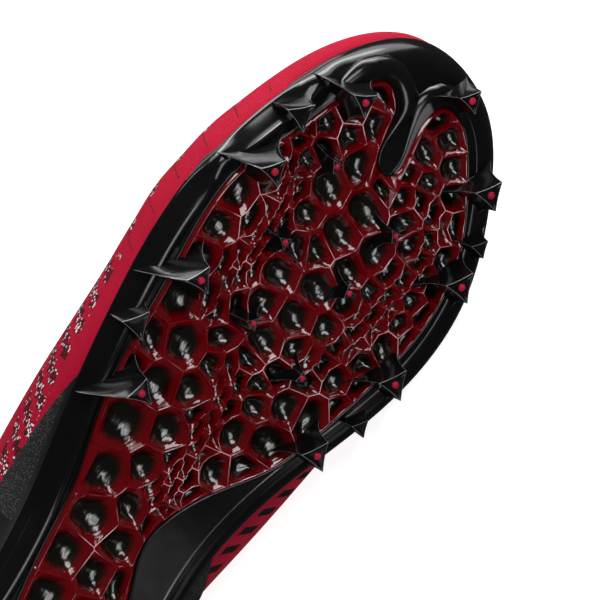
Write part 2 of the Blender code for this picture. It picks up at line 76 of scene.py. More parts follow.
mounts = {mount["name"]: mount for mount in frame["record"]["mounts"]}
ball_place = Vector(mounts["ball_stud_tip"]["pos_m"])
heel_place = Vector(mounts["heel_stud_tip"]["pos_m"])
shoe_up = -Vector(mounts["ball_stud_tip"]["axis"]).normalized()
TURN = basis(ball_place - heel_place, shoe_up) @ basis(BALL_TIP - HEEL_TIP, Vector((0, 0, 1))).transposed()
LAY_DOWN = (
    Matrix.Translation(ball_place) @ TURN.to_4x4() @ Matrix.Scale(MM, 4) @ Matrix.Translation(-BALL_TIP)
)
print("the upright z axis lies along", [round(value, 3) for value in TURN.col[2]])

# %% [markdown]
# The photograph looks at the sole from the lateral side, with the toe up and the shoe rolled to the right.
# The camera is set in the upright shoe's axes and carried to the floor with it. A long lens far away keeps
# the perspective as flat as in the photograph.

# %% Camera
AIM = Vector((205.0, 0.0, 12.0))
CAMERA_TILT = math.radians(28)
CAMERA_ROLL = math.radians(30)
CAMERA_AWAY = 1150.0
MM_PER_PIXEL = 0.307
FRAME_PIXELS = 600
SENSOR = 36.0

to_camera = Vector((0, -math.sin(CAMERA_TILT), -math.cos(CAMERA_TILT)))
toe_up = Vector((1, 0, 0))
level_right = toe_up.cross(to_camera)
image_right = math.sin(CAMERA_ROLL) * toe_up + math.cos(CAMERA_ROLL) * level_right
image_up = math.cos(CAMERA_ROLL) * toe_up - math.sin(CAMERA_ROLL) * level_right
CAMERA_AXES = Matrix((image_right, image_up, to_camera)).transposed()


def add_object(name, data):
    """A new object in the scene, at the origin."""
    made = bpy.data.objects.new(name, data)
    bpy.context.scene.collection.objects.link(made)
    return made


def studio_place(place, facing=Matrix.Identity(3)):
    """Where something stands that is placed in the camera's axes, in millimetres from the aim."""
    spot = LAY_DOWN @ (AIM + CAMERA_AXES @ Vector(place))
    return Matrix.Translation(spot) @ (TURN @ CAMERA_AXES @ facing).to_4x4()


camera_data = bpy.data.cameras.new("camera")
camera_data.sensor_width = SENSOR
camera_data.lens = SENSOR * CAMERA_AWAY / MM_PER_PIXEL / FRAME_PIXELS
camera = add_object("camera", camera_data)
camera.matrix_world = studio_place((0, 0, CAMERA_AWAY))
bpy.context.scene.camera = camera
print("lens", round(camera_data.lens, 1), "mm, camera at", [round(value, 3) for value in camera.location])

# %% [markdown]
# Shader maths reads best as plain expressions. This small class wraps one socket of a material: adding or
# multiplying such values adds the Math nodes, and the add method makes any other node from its type, its
# settings and its inputs.

# %% Shader values
class Wire:
    """The value of one socket in a material's tree."""

    def __init__(self, tree, socket=None):
        self.tree = tree
        self.socket = socket

    def add(self, kind, settings=None, inputs=None, output=0):
        """A new node: settings are set first, then each input gets a number or a link."""
        node = self.tree.nodes.new("ShaderNode" + kind)
        for name, value in (settings or {}).items():
            setattr(node, name, value)
        for name, value in (inputs or {}).items():
            if isinstance(value, Wire):
                self.tree.links.new(value.socket, node.inputs[name])
            else:
                node.inputs[name].default_value = value
        return Wire(self.tree, node.outputs[output])

    def math(self, operation, *values):
        return self.add("Math", {"operation": operation}, dict(enumerate(values)))

    def of(self, operation):
        """This value through a function such as SINE, FRACT or ABSOLUTE."""
        return self.math(operation, self)

    def __add__(self, other):
        return self.math("ADD", self, other)

    def __sub__(self, other):
        return self.math("SUBTRACT", self, other)

    def __rsub__(self, other):
        return self.math("SUBTRACT", other, self)

    def __mul__(self, other):
        return self.math("MULTIPLY", self, other)

    def __truediv__(self, other):
        return self.math("DIVIDE", self, other)

    __radd__ = __add__
    __rmul__ = __mul__

    def smooth(self, low, high):
        """0 below low, 1 above high and a soft step between."""
        settings = {"interpolation_type": "SMOOTHSTEP"}
        return self.add("MapRange", settings, {"Value": self, "From Min": low, "From Max": high})

    def blend(self, first, second):
        """Mixes two colours by this value."""
        return self.add("Mix", {"data_type": "RGBA"}, {0: self, 6: first, 7: second}, output=2)

    def noise(self, place, scale, detail):
        """Soft noise at a place, finer for a larger scale."""
        return self.add("TexNoise", None, {"Vector": place, "Scale": scale, "Detail": detail})


# %% Materials start here
def new_finish(name, colour, roughness, **constants):
    """A material with constant values on its Principled shader, its starting wire and the shader node."""
    material = bpy.data.materials.new(name)
    material.use_nodes = True
    shader = material.node_tree.nodes["Principled BSDF"]
    shader.inputs["Base Color"].default_value = (*colour, 1)
    shader.inputs["Roughness"].default_value = roughness
    for socket, value in constants.items():
        shader.inputs[socket.replace("_", " ")].default_value = value
    return material, Wire(material.node_tree), shader


def feed(wire, shader, socket):
    """Links a value that changes over the surface to one of the shader's sockets."""
    wire.tree.links.new(wire.socket, shader.inputs[socket])


def bump(height, shader, strength, distance):
    """Raises the surface by a height that nodes work out."""
    values = {"Height": height, "Strength": strength, "Distance": distance}
    feed(height.add("Bump", None, values), shader, "Normal")


def object_place(wire):
    return wire.add("TexCoord", output="Object")


def attribute(wire, name):
    return wire.add("Attribute", {"attribute_name": name}, output="Fac")


def dress(piece, *materials):
    """Gives a piece its materials."""
    for material in materials:
        piece.data.materials.append(material)
    print(piece.name, "wears", ", ".join(material.name for material in materials))


# %% [markdown]
# The studio is plain: a white floor and some soft lamps. In the photograph one broad lamp stands at the upper
# left, and its long streak runs along the left edge of the toe, while the right side stays black. The bowls
# of the web mirror a bright panel and two strips. Those three lamps show only in reflections, so that they
# don't wash out the red, and one near lamp gives light without a reflection. The lamps are placed in the
# camera's own axes: right, up and towards the camera.

# %% Floor and lamps
FLOOR_HALF = 6.0
FLOOR_WHITE, FLOOR_ROUGH, FLOOR_GLOW = (0.25, 0.25, 0.25), 0.9, 0.92
WORLD_STRENGTH = 0.05
LAMPS = (
    ("lamp_top", (0, 950, 20), (1.3, 0.7), 15, "both"),
    ("lamp_top_core", (-60, 950, 60), (1.0, 0.2), 9, "both"),
    ("lamp_left", (-520, 800, 200), (0.4, 0.4), 3, "both"),
    ("lamp_back", (-450, 800, -700), (0.6, 0.6), 1.5, "both"),
    ("lamp_high", (130, 520, 820), (0.45, 0.3), 4.2, "both"),
    ("lamp_front", (611, -532, 530), (0.17, 0.17), 0.09, "both"),
    ("lamp_near", (-220, 60, 420), (0.2, 0.3), 1.4, "light"),
    ("lamp_window", (350, -100, 880), (0.5, 0.7), 3, "mirrored"),
    ("lamp_strip", (420, -150, 850), (0.07, 0.6), 1.4, "mirrored"),
    ("lamp_thin_strip", (250, -80, 920), (0.05, 0.45), 0.7, "mirrored"),
)


def studio_lamp(name, place, size, power, use):
    """A rectangular lamp that faces the aim. It gives light, is mirrored in gloss, or both."""
    data = bpy.data.lights.new(name, "AREA")
    data.shape = "RECTANGLE"
    data.size, data.size_y = size
    data.energy = power
    lamp = add_object(name, data)
    away = Vector(place).normalized()
    right = (Vector((1, 0, 0)) - away * away.x).normalized()
    lamp.matrix_world = studio_place(place, Matrix((right, away.cross(right), away)).transposed())
    lamp.visible_glossy = use != "light"
    lamp.visible_diffuse = use != "mirrored"


def mesh_from(name, mesh_data):
    """A mesh with the geometry of a bmesh, which is freed."""
    mesh = bpy.data.meshes.new(name)
    mesh_data.to_mesh(mesh)
    mesh_data.free()
    return mesh


def make_floor():
    mesh_data = bmesh.new()
    bmesh.ops.create_grid(mesh_data, x_segments=1, y_segments=1, size=FLOOR_HALF)
    floor = add_object("floor", mesh_from("floor", mesh_data))
    glow = {"Emission_Color": (1, 1, 1, 1), "Emission_Strength": FLOOR_GLOW}
    dress(floor, new_finish("white_floor", FLOOR_WHITE, FLOOR_ROUGH, **glow)[0])
    floor.visible_glossy = False


make_floor()
for lamp_row in LAMPS:
    studio_lamp(*lamp_row)
world = bpy.data.worlds.new("studio")
world.use_nodes = True
background = world.node_tree.nodes["Background"].inputs
background["Color"].default_value = (1, 1, 1, 1)
background["Strength"].default_value = WORLD_STRENGTH
bpy.context.scene.world = world
bpy.context.scene.view_settings.view_transform = "Standard"
print(len(LAMPS), "lamps in the studio")

# %% [markdown]
# The shoe's form comes from one table, with a row for each place round the foot, and from the line of its
# underside. They are the tables that the solids were made from, with the toe a millimetre or two fuller, so
# every new surface can be worked out at any fineness and still lie on its solid. A closed cubic spline runs
# through the rows.

# %% Tables of the foot
STATION_COLUMNS = "x y edge lip bulge girth_z top_x top_y top_z lean counter".split()
STATIONS = {
    "heel_back": (0, -7, 5.0, 11, 1.0, 42, 6, -7, 92, 48, 0.60),
    "heel_lateral": (33, -40.5, 5.0, 10, 0.5, 42, 35, -33, 84, 46, 0.56),
    "ankle_lateral": (80, -41.0, 5.0, 8, 4.0, 38, 78, -34, 70, 52, 0.46),
    "waist_lateral": (115, -41.2, 5.0, 7, 4.5, 35, 112, -21, 86, 70, 0.32),
    "joint_lateral": (150, -48.2, 4.2, 8, 1.5, 34, 142, -13, 77, 80, 0.16),
    "ball_lateral": (180, -52.2, 4.2, 8.5, -1.0, 30, 166, -9.5, 67, 85, -0.10),
    "little_toe": (218, -51.3, 4.2, 8.5, -0.2, 30, 188, -7.5, 58.5, 88, -0.10),
    "toe_corner_lateral": (252, -39.3, 4.5, 8.5, 0.6, 31, 196, -5, 55, 90, -0.10),
    "toe_lateral": (282, -19.0, 6.0, 9, 0.9, 34, 199, -2, 53.5, 90, -0.10),
    "toe_tip": (294.6, 4.6, 7.5, 9.5, 0.3, 36, 200, 1, 53, 90, -0.10),
    "toe_medial": (285.8, 30.0, 5.0, 9.5, -0.2, 35, 199, 4, 53.5, 90, -0.10),
    "big_toe": (265, 43.2, 4.2, 8.5, -0.2, 33, 196, 7, 55, 90, -0.10),
    "ball_medial": (228, 53.4, 4.2, 8.5, -0.2, 36, 188, 9.5, 58.5, 88, -0.10),
    "joint_medial": (188, 46.6, 4.2, 8, 2.8, 36, 166, 10.5, 67.5, 85, -0.10),
    "arch_front": (153, 32.4, 5.0, 7, 10.5, 34, 142, 10, 78, 80, -0.06),
    "waist_medial": (117, 23.6, 5.0, 7, 12.0, 36, 112, 11.5, 87, 70, 0.16),
    "ankle_medial": (78, 24.8, 5.0, 8, 4.0, 39, 77, 19.5, 72, 52, 0.42),
    "heel_medial": (33, 26.5, 5.0, 10, -1.2, 44, 35, 19, 84, 46, 0.56),
}
SOLE_LINE = [
    (-10, 18.5), (20, 14.8), (55, 14.2), (85, 16.6), (115, 18.4), (145, 16.0),
    (175, 13.2), (205, 12.4), (235, 13.2), (262, 15.6), (285, 19.4), (305, 24.0),
]
HONEYCOMB_OUTLINE = [
    (24, -8), (34, -21), (60, -28), (104, -31), (121, -32), (137, -36), (152, -40), (188, -42.5),
    (213, -43), (230, -40), (246, -31), (262, -22.5), (272.5, -14.5), (276.5, -8), (272.5, -2.5),
    (262, -0.5), (252, 2.5), (251.5, 6.5), (262, 9), (273, 9.5), (279, 13.5), (278, 21),
    (270, 28.5), (255, 37), (238, 43), (214, 43), (192, 37.3), (171, 30), (156, 23.5),
    (143, 13), (129, 3), (116, -1), (100, 3), (80, 8), (52, 9), (32, 3),
]
print(len(STATIONS), "stations round the foot")

# %% Smooth curves through tables
def spline_slopes(knots, values, period=None):
    """Slopes of the cubic spline through the values, natural at its ends or closed over a period."""
    count = len(knots)
    closed = period is not None
    spans = np.diff(np.append(knots, knots[0] + period) if closed else knots)
    matrix = np.zeros((count, count))
    right = np.zeros_like(values)
    for i in range(count):
        if closed or i > 0:
            span, before = spans[i - 1], i - 1
            matrix[i, i] += 2 / span
            matrix[i, before] += 1 / span
            right[i] += 3 * (values[i] - values[before]) / span**2
        if closed or i < count - 1:
            span, after = spans[i], (i + 1) % count
            matrix[i, i] += 2 / span
            matrix[i, after] += 1 / span
            right[i] += 3 * (values[after] - values[i]) / span**2
    return np.linalg.solve(matrix, right)


def hermite(share, span, start, end, slope_start, slope_end):
    """A cubic between two values with given slopes, at a share of the span."""
    s2, s3 = share**2, share**3
    return (
        (2 * s3 - 3 * s2 + 1) * start
        + (s3 - 2 * s2 + share) * span * slope_start
        + (3 * s2 - 2 * s3) * end
        + (s3 - s2) * span * slope_end
    )


def unit(vectors):
    return vectors / np.linalg.norm(vectors, axis=-1)[..., None]


NORMAL_STEP = 0.05


class Loop:
    """A closed smooth curve through rows whose first two columns are x and y."""

    def __init__(self, rows):
        self.values = np.array(rows, float)
        steps = np.roll(self.values[:, :2], -1, axis=0) - self.values[:, :2]
        chords = np.hypot(steps[:, 0], steps[:, 1])
        self.length = chords.sum()
        self.knots = np.concatenate([[0], np.cumsum(chords)])
        self.slopes = spline_slopes(self.knots[:-1], self.values, self.length)

    def places(self, columns):
        """Evenly spaced places along the loop, with the first one again at the end."""
        return np.linspace(0, self.length, columns + 1)

    def at(self, place):
        """The columns at places along the loop, in millimetres from its first row."""
        place = np.mod(np.asarray(place, float), self.length)
        i = np.searchsorted(self.knots[:-1], place, side="right") - 1
        after = (i + 1) % len(self.values)
        span = (self.knots[i + 1] - self.knots[i])[..., None]
        share = (place - self.knots[i])[..., None] / span
        return hermite(
            share, span, self.values[i], self.values[after], self.slopes[i], self.slopes[after]
        )

    def outward(self, place):
        """Unit normals of the outline at places, pointing out of it."""
        along = self.at(np.asarray(place) + NORMAL_STEP) - self.at(np.asarray(place) - NORMAL_STEP)
        return unit(np.stack([along[..., 1], -along[..., 0]], axis=-1))


def run_along(points, axis):
    """How far the points have run from the first, along one axis of their array."""
    steps = np.linalg.norm(np.diff(points, axis=axis), axis=-1)
    return np.insert(np.cumsum(steps, axis=axis), 0, 0, axis=axis)


def smooth_rows(points, count):
    """Rows resampled on a natural spline through them."""
    knots = np.arange(len(points), dtype=float)
    slopes = spline_slopes(knots, points)
    places = np.linspace(0, len(points) - 1, count)
    i = np.clip(places.astype(int), 0, len(points) - 2)
    share = (places - i).reshape(-1, *[1] * (points.ndim - 1))
    return hermite(share, 1.0, points[i], points[i + 1], slopes[i], slopes[i + 1])


FOOT = Loop(list(STATIONS.values()))
HONEYCOMB = Loop(HONEYCOMB_OUTLINE)
SOLE_X, SOLE_Z = np.array(SOLE_LINE, float).T
SOLE_SLOPES = spline_slopes(SOLE_X, SOLE_Z)


def sole_height(x):
    """Height of the plate's underside at x."""
    i = np.clip(np.searchsorted(SOLE_X, x) - 1, 0, len(SOLE_X) - 2)
    span = SOLE_X[i + 1] - SOLE_X[i]
    ends = SOLE_Z[i], SOLE_Z[i + 1], SOLE_SLOPES[i], SOLE_SLOPES[i + 1]
    return hermite((x - SOLE_X[i]) / span, span, *ends)


def over_sole(plan, up):
    """Plan points raised to heights over the plate's underside."""
    return np.concatenate([plan, (sole_height(plan[:, 0]) + up)[:, None]], axis=1)


LIP_DROPS = ((50.0, 236.0, 30.0, 2.5), (246.0, 278.0, 6.0, 2.0))
LOWEST_WALL = 1.7


def window(places, start, end, fade):
    """1 between two places and 0 outside, with soft ends."""
    share = np.minimum((places - start) / fade, (end - places) / fade) + 0.5
    share = np.clip(share, 0, 1)
    return share * share * (3 - 2 * share)


def station(place):
    """The foot table's columns at places round the foot, by name, with the outline's plan points. The lip
    is lowered on the lateral side."""
    rows = FOOT.at(place)
    row = {name: rows[..., column] for column, name in enumerate(STATION_COLUMNS)}
    row["plan"] = rows[..., :2]
    for start, end, fade, deep in LIP_DROPS:
        room = np.minimum(deep, row["lip"] - row["edge"] - LOWEST_WALL)
        row["lip"] = row["lip"] - room * window(np.mod(place, FOOT.length), start, end, fade)
    return row


print("round the foot:", round(FOOT.length), "mm")

# %% [markdown]
# Most surfaces here are woven the same way: Blender makes a flat grid, and each of its points is moved to
# its place on the shoe. A grid that goes round the foot is welded where its last column meets its first.

# %% Grids and pieces
WELD = 0.002


def surface(points, closed=False, uv=None, ridge=None):
    """A bmesh grid moved to an array of points by column and row, with a UV map or a painted highlight mark
    if given.
    """
    columns, rows = points.shape[0] - 1, points.shape[1] - 1
    mesh_data = bmesh.new()
    bmesh.ops.create_grid(mesh_data, x_segments=columns, y_segments=rows, size=1)
    uv_layer = None if uv is None else mesh_data.loops.layers.uv.new("cloth")
    highlight_layer = None if ridge is None else mesh_data.verts.layers.float.new("ridge")
    at = {}
    for vert in mesh_data.verts:
        at[vert] = round((vert.co.x + 1) / 2 * columns), round((vert.co.y + 1) / 2 * rows)
    for vert, index in at.items():
        vert.co = points[index]
        if highlight_layer:
            vert[highlight_layer] = ridge[index]
    if uv_layer:
        for face in mesh_data.faces:
            for loop in face.loops:
                loop[uv_layer].uv = uv[at[loop.vert]]
    if closed:
        bmesh.ops.remove_doubles(mesh_data, verts=mesh_data.verts, dist=WELD)
    return mesh_data


def finished_mesh(name, mesh_data, sharp_deg=40):
    """A mesh in metres, laid down with the shoe and shaded smooth with sharp edges kept."""
    bmesh.ops.transform(mesh_data, matrix=LAY_DOWN, verts=mesh_data.verts)
    mesh = mesh_from(name, mesh_data)
    mesh.shade_smooth()
    mesh.set_sharp_from_angle(angle=math.radians(sharp_deg))
    return mesh


def piece_from(name, mesh_data, slot, *nodes, sharp_deg=40):
    """A finished piece: it rides on the shoe and stands for solids. The slot is not used."""
    made = add_object(name, finished_mesh(name, mesh_data, sharp_deg))
    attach(made, "root")
    if nodes:
        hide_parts(*nodes)
    print(name, len(made.data.polygons), "faces")
    return made


def join(target, other):
    """Adds one bmesh to another."""
    mesh = mesh_from("joined", other)
    target.from_mesh(mesh)
    bpy.data.meshes.remove(mesh)


def face_out(mesh_data, up=None):
    """Turns all faces outwards, or those of a sheet up or down."""
    bmesh.ops.recalc_face_normals(mesh_data, faces=mesh_data.faces[:])
    if up is not None and (sum(face.normal.z for face in mesh_data.faces) > 0) != up:
        bmesh.ops.reverse_faces(mesh_data, faces=mesh_data.faces[:])


def thicken(piece, thickness, offset):
    """Gives a sheet its thickness, inwards for an offset of -1 and outwards for 1."""
    wall = piece.modifiers.new("wall", "SOLIDIFY")
    wall.thickness = thickness * MM
    wall.offset = offset
    return wall


# %% [markdown]
# The plate is one black moulding. Its rim is a closed section carried round the foot. The section is rounded
# at the toe and where a fin climbs to a stud, and between two fins it is hollowed to a cove with a ridge
# beside the honeycomb. Blending the two sections breaks the long reflections as on the real moulding.

# %% Table of studs
STUD_COLUMNS = "x y heading base tip lift".split()


def stud_rows(*rows):
    return [dict(zip(STUD_COLUMNS, row)) for row in rows]


RIM_STUDS = stud_rows(
    (266.5, -19.5, -88, 13.0, 5.0, 2.0),
    (234.5, -35.4, -106, 14.0, 5.2, 0.0),
    (195.3, -38.6, -119, 14.0, 5.2, 0.0),
    (157.0, -36.5, -133, 12.5, 5.2, 0.8),
    (62, -29.5, -95, 11.5, 5.2, 0.0),
    (21, -23.0, -135, 12.0, 5.2, 0.0),
    (62, 14.5, 95, 11.5, 5.2, 0.0),
    (21, 9.0, 135, 12.0, 5.2, 0.0),
)
TAILED_STUDS = stud_rows(
    (284.5, 14.5, -107, 9.5, 4.6, 6.5),
    (262.5, 34.4, -110, 12.0, 5.8, 2.0),
    (233.4, 40.6, -112, 13.0, 6.0, 0.0),
    (197.0, 37.4, -112, 12.5, 6.0, 0.0),
    (166.0, 26.6, -112, 12.0, 5.8, 0.8),
)
RIM_BLADES = stud_rows(
    (253.5, -33.0, -98, 8.5, 5.6, 8.0),
    (174.3, -46.6, -107, 9.0, 5.6, 6.0),
)
INNER_BLADES = stud_rows(
    (247.0, 43.6, -107, 8.0, 3.6, 7.0),
    (180.0, 38.6, -107, 8.0, 3.6, 7.0),
)
CENTRE_STUDS = stud_rows(
    (245.7, -15.0, -60, 8.5, 2.6, 6.0),
    (236.6, 14.6, 60, 8.5, 2.6, 6.0),
    (217.9, -17.4, -80, 8.5, 2.6, 6.0),
    (214.3, 10.6, 80, 8.5, 2.6, 6.0),
    (191.7, -12.9, -100, 8.5, 2.6, 6.0),
    (184.5, 11.2, 100, 8.5, 2.6, 6.0),
)
print(len(RIM_STUDS + TAILED_STUDS + CENTRE_STUDS), "studs,", len(RIM_BLADES + INNER_BLADES), "blades")

# %% Where the fins leave the rim
FIN_REACH = 8.0
FINE_PLACES = np.linspace(0, FOOT.length, 1500)


def rim_place(stud, heading):
    """The place round the foot where a line from the stud at a heading meets the outline."""
    row = station(FINE_PLACES)
    bearing = np.arctan2(row["y"] - stud["y"], row["x"] - stud["x"]) - math.radians(heading)
    return float(FINE_PLACES[np.argmin(np.abs(np.angle(np.exp(1j * bearing))))])


def rim_room(stud, heading):
    """How far the outline is from the stud at a heading."""
    row = station(rim_place(stud, heading))
    return math.hypot(row["x"] - stud["x"], row["y"] - stud["y"])


COVED_FINS = RIM_STUDS[2:4]
rounded_fins = [stud for stud in RIM_STUDS if stud not in COVED_FINS]
fin_places = np.array([rim_place(stud, stud["heading"]) for stud in rounded_fins])


def fin_near(places):
    """1 where a fin leaves the rim, falling to 0 between the fins."""
    away = np.abs(np.asarray(places)[:, None] - fin_places)
    away = np.minimum(away, FOOT.length - away)
    return np.exp(-((away / FIN_REACH) ** 2)).max(axis=1)


print(len(fin_places), "fins blend into the rim")

# %% Rim of the plate
RIM_COLUMNS = 480
BAND_WIDTH = 3.0
CORNER_STEPS = 9
ROUND_BAND = ((0.2, 0.34), (-0.9, 0.3), (-2.1, 0.25))
ROUND_WALL = ((0.12, 0.35), (0.42, 0.68))
ROUND_FROM = 0.14
COVE_BAND = ((0.2, 0.1), (-0.5, -0.35), (-1.2, -0.4))
COVE_WALL = ((0.18, 0.3), (0.05, 0.62))
COVE_IN, COVE_OUT, COVE_LOW, COVE_HIGH, COVE_POWER = 2.0, 0.55, -0.2, 0.3, 0.62
COVE_RISE, COVE_END = 30.0, 330.0
TOE_BUMPER = (292.0, 366.0, 14.0)
INSIDE_IN, INSIDE_LOW, INSIDE_HIGH = 1.0, 0.7, 3.3
LIP_STEPS = ((0.55, -0.45), (0.55, -0.2), (1.0, 0.0), (2.3, 0.0))
CUP_IN, CUP_UP = 2.55, 3.8
LIP_MARK, LIP_SHINE = 5, 1.0
LIP_LINE = (60.0, 215.0, 20.0)


def section(edge, lip, band, corner, walls):
    """The rim's underside from the honeycomb over a corner to the lip, each step as far in and up."""
    steps = [(edge + BAND_WIDTH + inward, np.full_like(edge, up)) for inward, up in band] + corner
    return steps + [(np.full_like(edge, inward), edge + (lip - edge) * share) for inward, share in walls]


def round_section(edge, lip):
    """The section where a fin leaves the rim, and round the toe: a quarter circle."""
    turns = np.linspace(ROUND_FROM, math.pi / 2, CORNER_STEPS)
    corner = [(edge * (1 - math.sin(turn)), edge * (1 - math.cos(turn))) for turn in turns]
    return section(edge, lip, ROUND_BAND, corner, ROUND_WALL)


def cove_section(edge, lip):
    """The section between two fins: a ridge beside the honeycomb, a cove and a round shoulder."""
    corner = []
    for share in np.linspace(0, 1, CORNER_STEPS):
        inward = (edge + BAND_WIDTH - COVE_IN) * (1 - share) + COVE_OUT * share
        corner.append((inward, COVE_LOW + (edge + COVE_HIGH) * share**COVE_POWER))
    return section(edge, lip, COVE_BAND, corner, COVE_WALL)


def rim_points(places):
    """Closed sections of the rim, by place and by step round the section."""
    row = station(places)
    edge, lip = row["edge"], row["lip"]
    inside = edge + BAND_WIDTH + INSIDE_IN
    lateral = np.clip(places / COVE_RISE, 0, 1) * (places < COVE_END)
    between = lateral * (1 - fin_near(places)) * (1 - window(places, *TOE_BUMPER))
    steps = [(inside, np.full_like(edge, INSIDE_HIGH)), (inside, np.full_like(edge, INSIDE_LOW))]
    for (in_round, up_round), (in_cove, up_cove) in zip(round_section(edge, lip), cove_section(edge, lip)):
        steps.append((in_round + between * (in_cove - in_round), up_round + between * (up_cove - up_round)))
    steps += [(np.full_like(edge, inward), lip + up) for inward, up in LIP_STEPS]
    steps += [(np.full_like(edge, CUP_IN), np.full_like(edge, CUP_UP)), steps[0]]
    out = FOOT.outward(places)
    return np.stack([over_sole(row["plan"] - inward[:, None] * out, up) for inward, up in steps], axis=1)


rim = rim_points(FOOT.places(RIM_COLUMNS))
# A pale line painted along the lip: partly the lip's own pale grainy edge, partly a painted highlight.
lip_highlight = np.zeros(rim.shape[:2])
lip_highlight[:, -LIP_MARK] = LIP_SHINE * window(FOOT.places(RIM_COLUMNS), *LIP_LINE)
plate = surface(rim, closed=True, ridge=lip_highlight)
print("rim", len(plate.faces), "faces")

# %% [markdown]
# Between the rim and the honeycomb lies a smooth floor, and a thin raised bead follows the honeycomb's edge.
# The floor is filled between the two outlines, which keeps both borders exact.

# %% Floor between the rim and the honeycomb
FLOOR_UP = 0.3
FLOOR_THICK, FLOOR_UNDER_BAND = 2.0, 0.5
OUTLINE_COLUMNS = 300


def closed_line(mesh_data, points):
    """A ring of edges through plan points."""
    verts = [mesh_data.verts.new((x, y, 0)) for x, y in points]
    for vert, following in zip(verts, verts[1:] + verts[:1]):
        mesh_data.edges.new((vert, following))


def plate_floor():
    mesh_data = bmesh.new()
    places = FOOT.places(RIM_COLUMNS)[:-1]
    row = station(places)
    inward = (row["edge"] + BAND_WIDTH + FLOOR_UNDER_BAND)[:, None]
    closed_line(mesh_data, row["plan"] - inward * FOOT.outward(places))
    closed_line(mesh_data, HONEYCOMB.at(HONEYCOMB.places(OUTLINE_COLUMNS)[:-1]))
    bmesh.ops.triangle_fill(mesh_data, edges=mesh_data.edges[:], use_beauty=True, normal=(0, 0, -1))
    inside = [edge for edge in mesh_data.edges if not edge.is_boundary]
    bmesh.ops.subdivide_edges(mesh_data, edges=inside, cuts=2, use_grid_fill=True)
    bmesh.ops.triangulate(mesh_data, faces=mesh_data.faces[:])
    for vert in mesh_data.verts:
        vert.co.z = sole_height(vert.co.x) + FLOOR_UP
    face_out(mesh_data, up=False)
    bmesh.ops.solidify(mesh_data, geom=mesh_data.faces[:], thickness=FLOOR_THICK)
    return mesh_data


join(plate, plate_floor())

# %% Bead along the honeycomb's edge
BEAD_WIDTH, BEAD_HEIGHT = 1.0, 0.75
LOW_BEAD, LOW_FADE = 0.2, 12.0
WELT_WIDTH, WELT_HEIGHT = 8.0, 3.2
WELT_FROM, WELT_FULL = 260.0, 272.0
WELT_SIDE, WELT_FADE = 22.0, 8.0
FACET_BOXES = ((253, 276, 5.0, 10.5), (238, 264, -40, -17))
FACET_SHINE, FACET_WIDE, FACET_SIDE, FACET_TURN = 0.85, 0.5, 0.3, 0.2
BEAD_STEPS = 8


def edge_bead():
    """A half round bead along the honeycomb's outline, wider round the toe and by the channel, with a painted
    highlight there.
    """
    places = HONEYCOMB.places(OUTLINE_COLUMNS)
    line, out = HONEYCOMB.at(places), HONEYCOMB.outward(places)
    x, y = line.T
    front = np.clip((x - WELT_FROM) / (WELT_FULL - WELT_FROM), 0, 1) * np.clip(out[:, 0] + 0.5, 0, 1)
    front = front * np.clip((WELT_SIDE - y) / WELT_FADE, 0, 1)
    facet = sum((x > x0) & (x < x1) & (y > y0) & (y < y1) for x0, x1, y0, y1 in FACET_BOXES)
    half = (BEAD_WIDTH + (WELT_WIDTH - BEAD_WIDTH) * front + FACET_WIDE * facet)[:, None] / 2
    low = np.clip(1 - y / LOW_FADE, LOW_BEAD, 1)
    height = BEAD_HEIGHT * low + (WELT_HEIGHT - BEAD_HEIGHT) * front
    rings, highlight_marks = [], []
    for turn in np.linspace(0, 2 * math.pi, 2 * BEAD_STEPS + 1):
        flat = line + half * (1 + math.cos(turn)) * out
        rings.append(over_sole(flat, FLOOR_UP - height * math.sin(turn)))
        # A painted highlight on the bead's slope inside the facet boxes.
        highlight_marks.append(facet * FACET_SHINE * (math.sin(turn) > FACET_SIDE) * (math.cos(turn) < FACET_TURN))
    mesh_data = surface(np.stack(rings, axis=1), closed=True, ridge=np.stack(highlight_marks, axis=1))
    face_out(mesh_data)
    return mesh_data


join(plate, edge_bead())
print("plate", len(plate.faces), "faces with its floor and bead")

# %% [markdown]
# Each stud is a three-cornered fin. One ridge climbs from the rim's lip, the other two flare into the plate,
# and the sides between them are hollow. Every ridge is a bent line from a root over a bend to a corner of
# the tip, and a side is a sagging line between two ridges at the same height. The flat tip has a raised
# border. A grid column runs up the stud, so sharp ridges are columns that lie close together.

# %% One stud
ALONG_SIDE = np.array([0, 0.02, 0.05, 0.12, 0.22, 0.35, 0.5, 0.65, 0.78, 0.88, 0.95, 0.98])
UP_STUD = np.array([0, 0.06, 0.14, 0.23, 0.33, 0.44, 0.55, 0.66, 0.77, 0.87, 0.94, 0.98, 1.0])
# The third number of a tip ring is its painted highlight mark: the raised border is painted pale.
TIP_RINGS = ((0.97, -0.1, 1.0), (0.9, -0.1, 0.5), (0.84, 0.08, 0.0), (0.45, 0.15, 0.0), (0.0, 0.15, 0.0))
RIDGE_SHARE, RIDGE_ROUND, RIDGE_FADE = 0.05, 0.3, 0.2
HOLLOW_FOOT, HOLLOW_TIP, HOLLOW_TAIL = 0.5, 0.25, 1.0
FIN_ROOT_IN, FIN_ROOT_DOWN, FIN_BEND_OUT, FIN_BEND_DOWN = 0.2, 1.5, 1.8, 0.4
TAIL_TURN, TAIL_REACH, TAIL_ROOT, TAIL_BEND = -15.0, 16.0, -0.9, 0.4
ROOT_INSIDE, ROOT_UP = 1.8, 1.2
BEND_SHARE, BEND_DOWN = 0.12, 0.8


def plan_way(heading):
    """The unit direction in plan at a heading in degrees."""
    return np.array([math.cos(math.radians(heading)), math.sin(math.radians(heading))])


def bent_line(start, bend, end, share):
    """Points of a quadratic curve at several shares."""
    share = share[:, None]
    return (1 - share) ** 2 * start + 2 * share * (1 - share) * bend + share**2 * end


